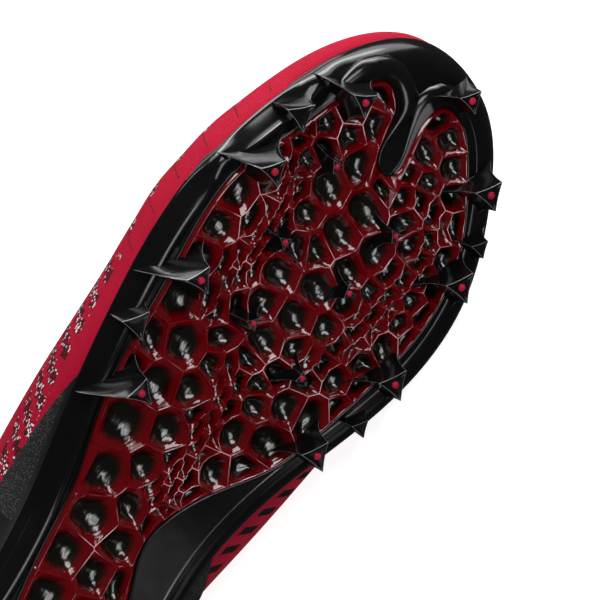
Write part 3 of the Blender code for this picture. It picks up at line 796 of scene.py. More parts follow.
def fin_ridge(stud):
    """Root and bend of the ridge that climbs from the rim's lip to the stud."""
    place = rim_place(stud, stud["heading"])
    row, out = station(place), FOOT.outward(place)
    sole = sole_height(row["x"])
    root = np.array([*(row["plan"] - FIN_ROOT_IN * out), sole + row["lip"] - FIN_ROOT_DOWN])
    bend = np.array([*(row["plan"] + FIN_BEND_OUT * out), sole - FIN_BEND_DOWN])
    return root, bend


def tail_ridge(stud):
    """Root and bend of the long low ridge that runs from a stud into the honeycomb."""
    away = plan_way(stud["heading"] + TAIL_TURN)
    middle = np.array([stud["x"], stud["y"]])
    root_plan = middle + TAIL_REACH * away
    bend_plan = middle + stud["tip"] * away
    root = np.array([*root_plan, sole_height(root_plan[0]) + TAIL_ROOT])
    bend = np.array([*bend_plan, sole_height(bend_plan[0]) + TAIL_BEND])
    return root, bend


def stud_ridges(stud, first="plain"):
    """The three ridges of a stud, each a line from its root to a corner of the tip. The first may be a
    fin from the rim or a tail into the honeycomb."""
    middle = np.array([stud["x"], stud["y"]])
    sole = sole_height(stud["x"])
    ridges = []
    for corner in range(3):
        heading = stud["heading"] + 120 * corner
        away = plan_way(heading)
        tip = np.array([*(middle + stud["tip"] * away), stud["lift"]])
        reach = min(stud["base"], rim_room(stud, heading) - ROOT_INSIDE)
        root = np.array([*(middle + reach * away), sole + ROOT_UP])
        bend_reach = stud["tip"] + BEND_SHARE * (reach - stud["tip"])
        bend = np.array([*(middle + bend_reach * away), sole - BEND_DOWN])
        if corner == 0 and first == "fin":
            root, bend = fin_ridge(stud)
        if corner == 0 and first == "tail":
            root, bend = tail_ridge(stud)
        ridges.append(bent_line(root, bend, tip, UP_STUD))
    return ridges


def stud_mesh(stud, first="plain"):
    """A stud as a grid: columns round it, and rows from its root over the raised border to its middle."""
    ridges = stud_ridges(stud, first)
    foot = HOLLOW_TAIL if first == "tail" else HOLLOW_FOOT
    hollow = (foot + (HOLLOW_TIP - foot) * UP_STUD)[:, None]
    columns, highlight_marks = [], []
    for corner in range(3):
        start, end = ridges[corner], ridges[(corner + 1) % 3]
        halfway = (start + end) / 2
        axis = halfway.copy()
        axis[:, 0], axis[:, 1] = stud["x"], stud["y"]
        sag = halfway + hollow * (axis - halfway)
        for along in ALONG_SIDE:
            line = (1 - along) ** 2 * start + 2 * along * (1 - along) * sag + along**2 * end
            ridge = max(0.0, 1 - min(along, 1 - along) / RIDGE_SHARE)
            inward = axis - line
            length = np.maximum(np.linalg.norm(inward, axis=1), 1e-6)[:, None]
            columns.append(line + ridge * RIDGE_ROUND * inward / length)
            # Painted highlight: a pale mark along each ridge, fading towards its root.
            highlight_marks.append(ridge * np.clip(UP_STUD / RIDGE_FADE, 0, 1))
    points = np.array(columns + columns[:1])
    highlight_marks = np.array(highlight_marks + highlight_marks[:1])
    highlight_marks[:, -1] = 1
    edge = points[:, -1]
    top = np.array([stud["x"], stud["y"], stud["lift"]])
    for scale, up, mark in TIP_RINGS:
        ring = top + scale * (edge - top) + np.array([0, 0, up])
        points = np.concatenate([points, ring[:, None]], axis=1)
        highlight_marks = np.concatenate([highlight_marks, np.full((len(highlight_marks), 1), mark)], axis=1)
    mesh_data = surface(points, closed=True, ridge=highlight_marks)
    face_out(mesh_data)
    return mesh_data


# %% Studs on the plate
for first, studs in (("fin", RIM_STUDS + RIM_BLADES), ("tail", TAILED_STUDS), ("plain", INNER_BLADES)):
    for stud in studs:
        join(plate, stud_mesh(stud, first))
stud_plate = piece_from("stud_plate", plate, "outsole_plate", "outsole_plate")

# %% [markdown]
# The honeycomb is a red web over black bowls. Large cells lie in lanes, and two bands of narrow cells sweep
# between them and meet at the arch. Each cell starts as a square, and the planes midway to its neighbours
# trim it to its polygon, larger for a larger cell. Rings are then extruded inwards: a fine crest on the
# border, a gentle slope and a deep oval bowl with a steep wall.

# %% Cells of the honeycomb
LARGE_CELLS = [
    (272, -6, 3.5), (263, -5, 5), (256, -12, 4.5), (250, -4, 6), (249, -18, 4.5), (243, -22, 4),
    (241, -30, 4), (255, -20, 4), (263, -15, 4), (239, -11, 6.5), (239, 5, 7), (228, 1, 7), (228, 15, 6),
    (229, -14, 5), (220, 10, 6), (221, -3, 5), (218, -10, 5), (211, 4, 6.5), (209, -12, 7), (211, 16, 5),
    (223, -36.5, 6), (212, -36, 6.5), (202, -35.5, 6), (273, 28, 3.5), (271, 20, 5), (275, 14, 3.5),
    (263, 15, 5), (264, 25, 4.5), (256, 12, 4), (256, 20, 4), (248, 15, 4.5), (248, 8, 4),
    (243, 20, 5), (256, 30, 4), (249, 36, 5), (238, 38, 5), (229, 39, 4), (222, 35, 4.5),
    (214, 34, 4.5), (220, 41, 4), (211, 41, 4), (206, 33, 5), (198, 29, 4.5), (199, -11, 6),
    (199, 2, 6.5), (201, 14, 5), (191, 8, 4.5), (188, -3, 5.5), (181, -5, 4), (181, 7, 5),
    (189, 25, 4.5), (190, 35, 4), (181, 32, 4.5), (188, -34, 6), (176, -26, 7.5), (183, -17, 4.5),
    (171, -37, 4.5), (164, -38, 4), (175, 15, 6), (176, 25, 6), (170, 5, 4.5), (165, -15, 6.5), (162, -27, 7),
    (159, 4, 6.5), (161, 15, 6.5), (151, 14, 5.5), (150, -14, 7), (146, -28, 7.5), (146, 5, 6),
    (137, -14, 6), (135, 4, 4.5), (130, -25, 7), (124, -11, 5), (116, -20, 7), (112, -9, 5),
    (102, -23, 7), (100, -11, 5.5), (100, -1, 4), (88, -21, 7), (87, -8, 6.5), (86, 3, 5),
    (74, -21, 6), (73, -9, 6.5), (72, 3, 5.5), (59, -19, 6), (59, -7, 6.5), (58, 4, 5),
    (46, -16, 6), (45, -4, 6), (35, -12, 5), (33, -3, 4.5),
]
SLIT_BAND = [
    (248, -25), (226, -22.5), (206, -23.5), (192, -21.5), (180, -12.5), (168, -7), (150, -5), (126, -4)
]
SCALE_BAND = [
    (252, 25), (236, 30.5), (222, 27), (208, 24), (196, 19), (184, 15), (172, 0), (150, -1.5), (126, -1.5)
]
SLITS = {"rows": (-4.2, -1.4, 1.4, 4.2), "step": 8.1, "stagger": 4.7, "seeds": (-2.7, 0, 2.7), "size": 2.2}
SCALES = {"rows": (-4.4, 0, 4.4), "step": 7.4, "stagger": 4.4, "seeds": (-1.85, 1.85), "size": 3.0}
NARROW_APART, LARGE_APART, LARGE_SPARE = 2.4, 0.66, 0.9
CELL_MARGIN = 1.0
BAND_POINTS = 400


def inside_outline(x, y, polygon):
    """Whether a plan point lies inside a closed polygon."""
    after = np.roll(polygon, -1, axis=0)
    crosses = (polygon[:, 1] > y) != (after[:, 1] > y)
    slope = (after[:, 0] - polygon[:, 0]) / np.where(crosses, after[:, 1] - polygon[:, 1], 1)
    return bool(np.count_nonzero(crosses & (x < polygon[:, 0] + (y - polygon[:, 1]) * slope)) % 2)


def narrow_cells(band, rule):
    """Rows of long cells along a band, laid like bricks. Each cell has a few seeds."""
    line = smooth_rows(np.array(band, float), BAND_POINTS)
    place = run_along(line, axis=0)
    along = unit(np.gradient(line, axis=0))
    across = np.stack([-along[:, 1], along[:, 0]], axis=1)
    found = []
    for number, row in enumerate(rule["rows"]):
        for stop in np.arange(rule["stagger"] * (number % 2), place[-1], rule["step"]):
            i = int(np.searchsorted(place, stop))
            middle = line[i] + row * across[i]
            found.append([(*(middle + seed * along[i]), rule["size"]) for seed in rule["seeds"]])
    return sorted(found, key=lambda seeds: -seeds[0][0])


def all_cells():
    """Seeds of the cells: x, y, size and the number of the cell that a seed belongs to."""
    border = HONEYCOMB.at(HONEYCOMB.places(OUTLINE_COLUMNS)[:-1])
    cells = [(*cell, number) for number, cell in enumerate(LARGE_CELLS) if inside_outline(*cell[:2], border)]
    for seeds in narrow_cells(SLIT_BAND, SLITS) + narrow_cells(SCALE_BAND, SCALES):
        free = all(
            math.hypot(x - cell[0], y - cell[1]) > max(NARROW_APART, LARGE_APART * cell[2] + LARGE_SPARE)
            for x, y, _ in seeds for cell in cells
        )
        if free and all(inside_outline(x, y, border) for x, y, _ in seeds):
            number = cells[-1][3] + 1
            cells += [(*seed, number) for seed in seeds]
    return np.array(cells)


cells = all_cells()
print(len(np.unique(cells[:, 3])), "cells")

# %% One cell
CELL_REACH = 24.0
WEIGHT = 0.75
TRIM_ROUNDS, TRIM_SPARE = 16, 0.03
EDGE_STEP = 1.0
CREST_RINGS = ((0.09, 0.02), (0.3, 0.12))
SLOPE_RINGS = ((0.965, 0.28, 0.3), (0.93, 0.55, 0.5))
BOWL_SHARE, BOWL_FROM, BOWL_DEEP = 0.9, 0.6, 3.8
BOWL_REACH = (0.97, 0.9, 0.8, 0.68, 0.55, 0.42, 0.28, 0.14, 0.04)
BOWL_POWER, BOWL_CORNERS = 2.6, 0.2
BOWL_LEAN = np.array([0.3, -0.95])
OVAL_SIZE, LEAST_SPREAD, LEAST_LENGTH = 1.36, 0.01, 0.2
FULL_CELL, LEAST_SHRINK = 2.2, 0.5
SEED_WELD, CELL_WELD = 0.05, 0.02


def trim(mesh_data, point, normal):
    geometry = mesh_data.verts[:] + mesh_data.edges[:] + mesh_data.faces[:]
    bmesh.ops.bisect_plane(
        mesh_data, geom=geometry, plane_co=(*point, 0), plane_no=(*normal, 0), clear_outer=True
    )


def points_outside(mesh_data, limit):
    """Points along the edges of a flat face that lie outside a closed outline."""
    found = []
    for edge in mesh_data.edges:
        start, end = (np.array(vert.co)[:2] for vert in edge.verts)
        for share in np.linspace(0, 1, max(2, round(edge.calc_length()) + 1)):
            point = start + share * (end - start)
            if not inside_outline(*point, limit):
                found.append(point)
    return found


def seed_polygon(number, limit, outward):
    """The flat face round one seed, trimmed by the other seeds and by the honeycomb's outline."""
    middle, size = cells[number, :2], WEIGHT * cells[number, 2]
    mesh_data = bmesh.new()
    bmesh.ops.create_grid(mesh_data, x_segments=1, y_segments=1, size=CELL_REACH / 2)
    bmesh.ops.translate(mesh_data, verts=mesh_data.verts, vec=(*middle, 0))
    towards = cells[:, :2] - middle
    distances = np.hypot(towards[:, 0], towards[:, 1])
    for other in np.argsort(distances):
        distance = distances[other]
        if other == number or distance > CELL_REACH or not mesh_data.faces:
            continue
        normal = towards[other] / distance
        share = (distance**2 + size**2 - (WEIGHT * cells[other, 2]) ** 2) / (2 * distance)
        trim(mesh_data, middle + normal * share, normal)
    for _ in range(TRIM_ROUNDS):
        outside = points_outside(mesh_data, limit)
        if not outside:
            break
        gaps = np.linalg.norm(np.array(outside)[:, None] - limit, axis=2)
        gaps[:, ((middle - limit) * outward).sum(axis=1) > -TRIM_SPARE] = np.inf
        nearest = int(np.argmin(gaps[np.argmax(gaps.min(axis=1))]))
        trim(mesh_data, limit[nearest] - TRIM_SPARE * outward[nearest], outward[nearest])
    return mesh_data


def cell_polygon(number, limit, outward):
    """The flat face of one cell, joined from the faces of its seeds."""
    mesh_data = bmesh.new()
    for seed in np.flatnonzero(cells[:, 3] == number):
        join(mesh_data, seed_polygon(seed, limit, outward))
    bmesh.ops.remove_doubles(mesh_data, verts=mesh_data.verts, dist=SEED_WELD)
    if len(mesh_data.faces) > 1:
        bmesh.ops.dissolve_faces(mesh_data, faces=mesh_data.faces[:])
    return mesh_data


def cell_mesh(mesh_data):
    """Sinks a flat cell into a crest, a slope and a bowl. z is the depth under the crest."""
    for edge in mesh_data.edges[:]:
        cuts = round(edge.calc_length() / EDGE_STEP) - 1
        if cuts > 0:
            bmesh.ops.subdivide_edges(mesh_data, edges=[edge], cuts=cuts)
    face = mesh_data.faces[:][0]
    middle = np.array(face.calc_center_median_weighted())[:2]
    spread = np.array([np.array(vert.co)[:2] - middle for vert in face.verts])
    values, axes = np.linalg.eigh(spread.T @ spread / len(spread))
    radii = OVAL_SIZE * np.sqrt(np.maximum(values, LEAST_SPREAD))
    lengths = np.hypot(spread[:, 0], spread[:, 1])
    ways = spread / np.maximum(lengths, 1e-6)[:, None]
    along = ways @ axes
    ovals = np.minimum(1 / np.hypot(along[:, 0] / radii[0], along[:, 1] / radii[1]), lengths)
    shrink = float(np.clip(lengths.min() / FULL_CELL, LEAST_SHRINK, 1.0))
    rings = []
    for inward, down in CREST_RINGS:
        rings.append((np.maximum(lengths - inward * shrink, LEAST_LENGTH), down * shrink, 0))
    for scale, down, roundness in SLOPE_RINGS:
        rings.append((scale * ((1 - roundness) * lengths + roundness * ovals), down * shrink, 0))
    for reach in BOWL_REACH:
        down = BOWL_FROM + BOWL_DEEP * (1 - reach**BOWL_POWER)
        shape = ovals + BOWL_CORNERS * reach * (lengths - ovals)
        rings.append((BOWL_SHARE * reach * shape, down * shrink, (1 - reach) * shrink))
    for reach, down, lean in rings:
        face = bmesh.ops.extrude_discrete_faces(mesh_data, faces=[face])["faces"][0]
        for vert, way, length in zip(face.verts, ways, reach):
            vert.co = (*(middle + way * length + lean * BOWL_LEAN), down)
    return mesh_data


# %% The whole web
CREST_LOW = 1.1
SKIRT_UP = 0.9
SKIRT_OUT = 0.3
MARGIN_HOLLOW = 0.4
SMALLEST_CELL = 0.8


def honeycomb_web():
    places = HONEYCOMB.places(OUTLINE_COLUMNS)[:-1]
    border, outward = HONEYCOMB.at(places), HONEYCOMB.outward(places)
    web = bmesh.new()
    limit = border - CELL_MARGIN * outward
    for number in np.unique(cells[:, 3]):
        polygon = cell_polygon(number, limit, outward)
        for face in polygon.faces:
            if face.calc_area() > SMALLEST_CELL:
                alone = bmesh.new()
                alone.faces.new([alone.verts.new(vert.co) for vert in face.verts])
                join(web, cell_mesh(alone))
        polygon.free()
    bmesh.ops.remove_doubles(web, verts=web.verts, dist=CELL_WELD)
    hollow = web.verts.layers.float.new("hollow")
    for vert in web.verts:
        vert[hollow] = vert.co.z
    rim_edges = [edge for edge in web.edges if edge.is_boundary]
    for edge in rim_edges:
        for vert in edge.verts:
            vert[hollow] = MARGIN_HOLLOW
    grown = bmesh.ops.extrude_edge_only(web, edges=rim_edges)["geom"]
    for vert in (item for item in grown if isinstance(item, bmesh.types.BMVert)):
        nearest = int(np.argmin(np.hypot(border[:, 0] - vert.co.x, border[:, 1] - vert.co.y)))
        vert.co = (*(border[nearest] + SKIRT_OUT * outward[nearest]), CREST_LOW + SKIRT_UP)
        vert[hollow] = MARGIN_HOLLOW
    for vert in web.verts:
        vert.co.z += sole_height(vert.co.x) - CREST_LOW
    face_out(web, up=False)
    return web


honeycomb = piece_from("honeycomb_web", honeycomb_web(), "honeycomb_insert", "honeycomb_insert", sharp_deg=80)

# %% [markdown]
# Six small studs stand in the web, made by the same rule as the large ones. Most tips carry a red dot, which
# is a flattened ball sunk into the tip, because a separate piece can have its own grain.

# %% Small studs that stand in the honeycomb
small_studs = stud_mesh(CENTRE_STUDS[0])
for stud in CENTRE_STUDS[1:]:
    join(small_studs, stud_mesh(stud))
centre_studs = piece_from("centre_studs", small_studs, "honeycomb_insert")

# %% Red dots in the stud tips
DOT_RADIUS, DOT_HIGH, DOT_UP = 1.2, 0.6, 0.05
FULL_DOT_TIP = 3.4


def tip_dots():
    dots = bmesh.new()
    for stud in RIM_STUDS + TAILED_STUDS + CENTRE_STUDS:
        size = DOT_RADIUS * min(1.0, stud["tip"] / FULL_DOT_TIP)
        dot = bmesh.new()
        bmesh.ops.create_icosphere(dot, subdivisions=3, radius=1)
        bmesh.ops.scale(dot, vec=(size, size, DOT_HIGH), verts=dot.verts)
        bmesh.ops.translate(dot, vec=(stud["x"], stud["y"], stud["lift"] + DOT_UP), verts=dot.verts)
        join(dots, dot)
    return dots


stud_dots = piece_from("stud_dots", tip_dots(), "honeycomb_insert")

# %% [markdown]
# The upper is one knitted wall. Its surface rises from inside the rim's lip, flares to the fullest line of
# the foot and leans in to the collar or the throat. The grid follows that rule at about one and a half
# millimetres, so the eyelets can be opened by deleting faces and drawing the edge onto a circle.

# %% The upper's own surface
GAP = 0.3
UPPER_IN, UPPER_LOW = 2.95, 4.3
FLARE_FROM, GIRTH_AT = 0.08, 0.35
WALL = 1.8
SIDE_STEP, SHARE_STEP = 0.5, 0.004


def upper_point(place, share):
    """Points of the upper's outside: share runs from 0 at its lower edge to 1 at the collar or throat."""
    place, share = np.broadcast_arrays(np.asarray(place, float), np.asarray(share, float))
    row = station(place)
    out = FOOT.outward(place)
    sole = sole_height(row["x"])
    foot = row["plan"] - UPPER_IN * out
    girth = row["plan"] + row["bulge"][..., None] * out
    top = np.stack([row["top_x"], row["top_y"]], axis=-1)
    low_z, lip_z = sole + UPPER_LOW, sole + row["lip"] + GAP
    flare = np.clip((share - FLARE_FROM) / (GIRTH_AT - FLARE_FROM), 0, 1) * math.pi / 2
    full = np.radians(row["lean"])
    lean = np.clip((share - GIRTH_AT) / (1 - GIRTH_AT), 0, 1) * full
    inward = ((1 - np.cos(lean)) / (1 - np.cos(full)))[..., None]
    plan = foot + (girth - foot) * np.sin(flare)[..., None] + (top - girth) * inward
    height = (
        low_z
        + (lip_z - low_z) * np.clip(share / FLARE_FROM, 0, 1)
        + (row["girth_z"] - lip_z) * (1 - np.cos(flare))
        + (row["top_z"] - row["girth_z"]) * np.sin(lean) / np.sin(full)
    )
    return np.concatenate([plan, height[..., None]], axis=-1)


def upper_normal(place, share):
    """Unit normals of the upper, pointing out of the shoe."""
    place, share = np.broadcast_arrays(np.asarray(place, float), np.asarray(share, float))
    along = upper_point(place + SIDE_STEP, share) - upper_point(place - SIDE_STEP, share)
    below, above = np.maximum(share - SHARE_STEP, 0), np.minimum(share + SHARE_STEP, 1)
    return unit(np.cross(along, upper_point(place, above) - upper_point(place, below)))


def upper_offset(place, share, outside):
    """Points at a distance from the upper's surface, negative inside the shoe."""
    return upper_point(place, share) + np.asarray(outside)[..., None] * upper_normal(place, share)


# %% [markdown]
# A worn knit creases where the toes bend and below the ankle. Each crease is a line on the upper's surface,
# given in a table: a soft trough along it, fading at both ends, with a low roll of cloth beside it.
# placed by hand: a soft trough along it, fading at both ends, with a low roll of cloth beside it.

# %% Creases of the upper
CREASE_COLUMNS = "place share place_end share_end width depth".split()
CREASES = [
    (222, 0.30, 250, 0.62, 7.0, 0.40),
    (236, 0.34, 262, 0.70, 6.5, 0.35),
    (205, 0.30, 232, 0.66, 7.5, 0.45),
    (190, 0.36, 214, 0.60, 7.0, 0.30),
    (404, 0.66, 430, 0.32, 7.0, 0.45),
    (418, 0.70, 446, 0.34, 7.0, 0.40),
    (436, 0.62, 462, 0.30, 7.5, 0.45),
    (96, 0.55, 110, 0.86, 6.0, 0.7),
    (560, 0.86, 578, 0.55, 6.0, 0.7),
]
SHARE_HEIGHT = 80.0
CREASE_FADE = (0.08, 0.84)
ROLL_DEPTH, ROLL_AWAY = 0.45, 1.7


def crease_depth(place, share):
    """How far the soft troughs press the upper in."""
    depth = np.zeros(np.broadcast(place, share).shape)
    here = np.stack(np.broadcast_arrays(place, share * SHARE_HEIGHT), axis=-1)
    for row in CREASES:
        crease = dict(zip(CREASE_COLUMNS, row))
        start = np.array([crease["place"], crease["share"] * SHARE_HEIGHT])
        along = np.array([crease["place_end"], crease["share_end"] * SHARE_HEIGHT]) - start
        share_along = np.clip((here - start) @ along / (along @ along), 0, 1)
        away = np.linalg.norm(here - start - share_along[..., None] * along, axis=-1) / crease["width"]
        fade = np.sin(math.pi * (CREASE_FADE[0] + CREASE_FADE[1] * share_along))
        trough = np.exp(-(away**2)) - ROLL_DEPTH * np.exp(-((away - ROLL_AWAY) ** 2))
        depth += crease["depth"] * fade * trough
    return depth


# %% Knitted upper with open eyelets
UPPER_COLUMNS, UPPER_ROWS = 440, 76
EYELET_X = (184, 168, 151, 134, 118)
EYELET_RADIUS, EYELET_SHARE = 2.2, 0.86
THROAT_POINTS = 300
THROAT_STATIONS = ("waist_lateral", "toe_tip", "waist_medial")
throat_knots = [FOOT.knots[list(STATIONS).index(name)] for name in THROAT_STATIONS]


def throat_places(x):
    """The lateral and medial places round the foot where the throat's edge passes x."""
    lateral = np.linspace(*throat_knots[:2], THROAT_POINTS)
    medial = np.linspace(*throat_knots[1:], THROAT_POINTS)
    return (
        float(np.interp(x, station(lateral)["top_x"], lateral)),
        float(np.interp(-x, -station(medial)["top_x"], medial)),
    )


def open_eyelet(mesh_data, middle, axis):
    """Deletes the faces over an eyelet and draws the edge of the hole onto a circle."""
    covered = [
        face for face in mesh_data.faces
        if (face.calc_center_median() - Vector(middle)).length < EYELET_RADIUS
    ]
    border = {vert for face in covered for vert in face.verts}
    bmesh.ops.delete(mesh_data, geom=covered, context="FACES")
    for vert in border:
        if vert.is_valid:
            offset = np.array(vert.co) - middle
            flat = offset - axis * (offset @ axis)
            vert.co += Vector(flat * (EYELET_RADIUS / np.linalg.norm(flat) - 1))


def cloth_sheet(place, share, outside, closed=False):
    """A sheet laid off the upper's surface, with its cloth's run along and up as its UV map."""
    points = upper_offset(place, share, outside)
    return surface(points, closed, uv=np.stack([place, run_along(points, axis=1)], axis=-1))


def knitted_upper():
    shares = np.linspace(0, 1, UPPER_ROWS + 1)
    place, share = np.meshgrid(FOOT.places(UPPER_COLUMNS), shares, indexing="ij")
    mesh_data = cloth_sheet(place, share, -crease_depth(place, share), closed=True)
    for x in EYELET_X:
        for eyelet in throat_places(x):
            open_eyelet(mesh_data, upper_point(eyelet, EYELET_SHARE), upper_normal(eyelet, EYELET_SHARE))
    return mesh_data


upper = piece_from("knit_upper", knitted_upper(), "upper", "upper", sharp_deg=80)
thicken(upper, WALL, -1).material_offset = 1

# %% [markdown]
# A black overlay wraps the heel and narrows to a wedge along both sides, as on the photographed shoe. It is
# laid off the upper's own surface, so it follows every curve below it, and its edges are rounded.

# %% Heel overlay
OVERLAY_COLUMNS, OVERLAY_ROWS = 220, 26
COUNTER_GAP, COUNTER_THICK, COUNTER_FOOT = 0.5, 0.9, 0.1
OVERLAY_MARGIN, OVERLAY_SEARCH = 0.02, 2001
EDGE_ROUND, EDGE_STEPS = 0.35, 2


def heel_overlay():
    fine = np.linspace(-FOOT.length / 2, FOOT.length / 2, OVERLAY_SEARCH)
    covered = fine[station(fine)["counter"] > COUNTER_FOOT + OVERLAY_MARGIN]
    places = np.linspace(covered[0], covered[-1], OVERLAY_COLUMNS + 1)
    heights = np.linspace(0, 1, OVERLAY_ROWS + 1)
    place, height = np.meshgrid(places, heights, indexing="ij")
    share = COUNTER_FOOT + (station(place)["counter"] - COUNTER_FOOT) * height
    return cloth_sheet(place, share, np.full(place.shape, COUNTER_GAP))


overlay = piece_from("heel_overlay", heel_overlay(), "heel_counter", "heel_counter", sharp_deg=80)
thicken(overlay, COUNTER_THICK, 1)
rounding = overlay.modifiers.new("edge", "BEVEL")
rounding.width = EDGE_ROUND * MM
rounding.segments = EDGE_STEPS
rounding.limit_method = "ANGLE"

# %% [markdown]
# Inside lie a cloth-covered footbed and, under the throat, a padded tongue. The footbed is a fan of quads
# from its outline to the middle line of the foot. The tongue is swept from under one side of the throat to
# under the other, and its free end stands over the collar.

# %% Footbed
INSOLE_IN, INSOLE_LOW, INSOLE_HIGH = 5.3, 4.0, 7.2
FOOTBED_COLUMNS, FOOTBED_ROWS = 240, 14
SPINE_FROM, SPINE_TO = 34.0, 258.0
DISH_DEEP, DISH_POWER, FAN_WELD = 0.7, 3, 0.05


def footbed():
    places = FOOT.places(FOOTBED_COLUMNS)
    edge = station(places)["plan"] - INSOLE_IN * FOOT.outward(places)
    toe = int(np.argmax(edge[:, 0]))
    spine_x = np.clip(edge[:, 0], SPINE_FROM, SPINE_TO)
    lateral = np.interp(spine_x, edge[:toe, 0], edge[:toe, 1])
    medial = np.interp(-spine_x, -edge[toe:, 0], edge[toe:, 1])
    spine = np.stack([spine_x, (lateral + medial) / 2], axis=-1)
    rings = []
    for share in np.linspace(0, 1, FOOTBED_ROWS + 1):
        sunk = DISH_DEEP - DISH_DEEP * (1 - share) ** DISH_POWER
        rings.append(over_sole(edge + (spine - edge) * share, INSOLE_HIGH - sunk))
    mesh_data = surface(np.stack(rings, axis=1))
    bmesh.ops.remove_doubles(mesh_data, verts=mesh_data.verts, dist=FAN_WELD)
    face_out(mesh_data, up=True)
    bmesh.ops.solidify(mesh_data, geom=mesh_data.faces[:], thickness=INSOLE_HIGH - INSOLE_LOW - DISH_DEEP)
    return mesh_data


foot_bed = piece_from("footbed", footbed(), "insole", "insole")

# %% Tongue
TONGUE_X = (190, 178, 165, 150, 136, 124, 114)
TONGUE_SHARES = (0.80, 0.90, 1.0)
TONGUE_TUCK = np.array([14.0, 0.0, -7.5])
TONGUE_FREE_STEPS = ((12.0, 0.78), (23.0, 0.62))
TONGUE_CROWN, TONGUE_THICK, TONGUE_GAP = 1.2, 2.6, 1.2
TONGUE_ACROSS, TONGUE_ALONG, TONGUE_STEP = 28, 60, 2.0


def tongue_section(x):
    lateral, medial = throat_places(x)
    inside = -(WALL + TONGUE_GAP)
    left = [upper_offset(lateral, share, inside) for share in TONGUE_SHARES]
    right = [upper_offset(medial, share, inside) for share in reversed(TONGUE_SHARES)]
    crest = (left[-1] + right[0]) / 2 + np.array([0, 0, TONGUE_CROWN])
    return np.array([*left, crest, *right])


def tongue_mesh():
    sections = [tongue_section(x) for x in TONGUE_X]
    last = sections[-1]
    middle = last.mean(axis=0)
    rise = unit(middle - sections[-2].mean(axis=0))
    free = []
    for away, width in TONGUE_FREE_STEPS:
        free.append(middle + (last - middle) * np.array([1, width, 1]) + rise * away)
    rows = np.array([sections[0] + TONGUE_TUCK, *sections, *free])
    along = smooth_rows(rows.reshape(len(rows), -1), TONGUE_ALONG + 1).reshape(-1, *last.shape)
    grid = np.stack([smooth_rows(row, TONGUE_ACROSS + 1) for row in along])
    steps = TONGUE_STEP * np.indices(grid.shape[:2])
    return surface(grid, uv=np.moveaxis(steps, 0, -1))


tongue = piece_from("padded_tongue", tongue_mesh(), "tongue", "tongue", sharp_deg=80)
thicken(tongue, TONGUE_THICK, -1)

# %% [markdown]
# The lace is flat and woven. A bar at the front and crossings up to the top eyelets hold the throat, and its
# ends stop at the top eyelets. Each stretch is a flat oval carried over the throat, and it dives
# into its eyelets at both ends.

# %% Lace
LACE_WIDTH, LACE_THICK, LACE_LIFT, LACE_STEP = 5.0, 1.4, 1.7, 0.5
LACE_ALONG, LACE_AROUND = 48, 16
LACE_DIVE, DIVE_SHARE = 2.2, EYELET_SHARE - 0.02
LACE_SQUARE = 0.6


def lace_path(start, end, lifts, over):
    """Points and normals of a lace from one eyelet over the throat to another."""
    stops = (
        (start, DIVE_SHARE, -LACE_DIVE),
        (start, EYELET_SHARE, lifts[0]),
        (start, 1.0, lifts[0]),
        (end, 1.0, lifts[1]),
        (end, EYELET_SHARE, lifts[1]),
        (end, DIVE_SHARE, -LACE_DIVE),
    )
    points = [upper_offset(*stop) for stop in stops]
    normals = [upper_normal(place, share) for place, share, _ in stops]
    points.insert(3, (points[2] + points[3]) / 2 + np.array([0, 0, TONGUE_CROWN + over]))
    normals.insert(3, (normals[2] + normals[3]) / 2)
    return smooth_rows(np.array(points), LACE_ALONG + 1), smooth_rows(np.array(normals), LACE_ALONG + 1)


def lace_stretch(start, end, lifts, over=0.0):
    points, normals = lace_path(start, end, lifts, over)
    across = unit(np.cross(np.gradient(points, axis=0), normals))
    turns = np.linspace(0, 2 * math.pi, LACE_AROUND + 1)
    sideways = LACE_WIDTH / 2 * np.sign(np.cos(turns)) * np.abs(np.cos(turns)) ** LACE_SQUARE
    upwards = LACE_THICK / 2 * np.sin(turns)
    grid = points[:, None] + sideways[:, None] * across[:, None] + upwards[:, None] * normals[:, None]
    uv = np.meshgrid(run_along(points, axis=0), turns * LACE_WIDTH / math.pi, indexing="ij")
    mesh_data = surface(grid, closed=True, uv=np.stack(uv, axis=-1))
    bmesh.ops.holes_fill(mesh_data, edges=[edge for edge in mesh_data.edges if edge.is_boundary])
    face_out(mesh_data)
    return mesh_data


def whole_lace():
    rows = [throat_places(x) for x in EYELET_X]
    low, middle, high = LACE_LIFT, LACE_LIFT + LACE_STEP / 2, LACE_LIFT + LACE_STEP
    lace = lace_stretch(*rows[0], (middle, middle))
    for lower, upper_row in zip(rows, rows[1:]):
        join(lace, lace_stretch(lower[0], upper_row[1], (low, high), LACE_STEP))
        join(lace, lace_stretch(lower[1], upper_row[0], (low, high)))
    return lace


lace = piece_from("flat_lace", whole_lace(), "lace", "lace", sharp_deg=60)

# %% [markdown]
# Now the finishes. The plate is polished black plastic with faint moulding waves, and a paler grey is painted
# on its ridges as a highlight. The web is glossy dark red with a painted pale highlight on its crest and
# near-black bowls, told apart by the depth that each point carries.

# %% Black gloss
BLACK, RIDGE_HIGHLIGHT_GREY = (0.0022, 0.0022, 0.0025, 1), (0.09, 0.09, 0.095, 1)


def black_gloss():
    material, start, shader = new_finish(
        "black_gloss", BLACK[:3], 0.14, Coat_Weight=0.1, Coat_Roughness=0.08, Specular_IOR_Level=0.22
    )
    where = object_place(start)
    feed(0.13 + 0.1 * start.noise(where, 60.0, 4.0).smooth(0.35, 0.75), shader, "Roughness")
    # The ridge mark turns the black to a paler grey: a painted highlight on ridges, tip borders, the lip and
    # the channel facet.
    ridge = attribute(start, "ridge").smooth(0.45, 1.0)
    feed(ridge.blend(BLACK, RIDGE_HIGHLIGHT_GREY), shader, "Base Color")
    bump(start.noise(where, 160.0, 1.0), shader, 0.08, 0.001)
    return material


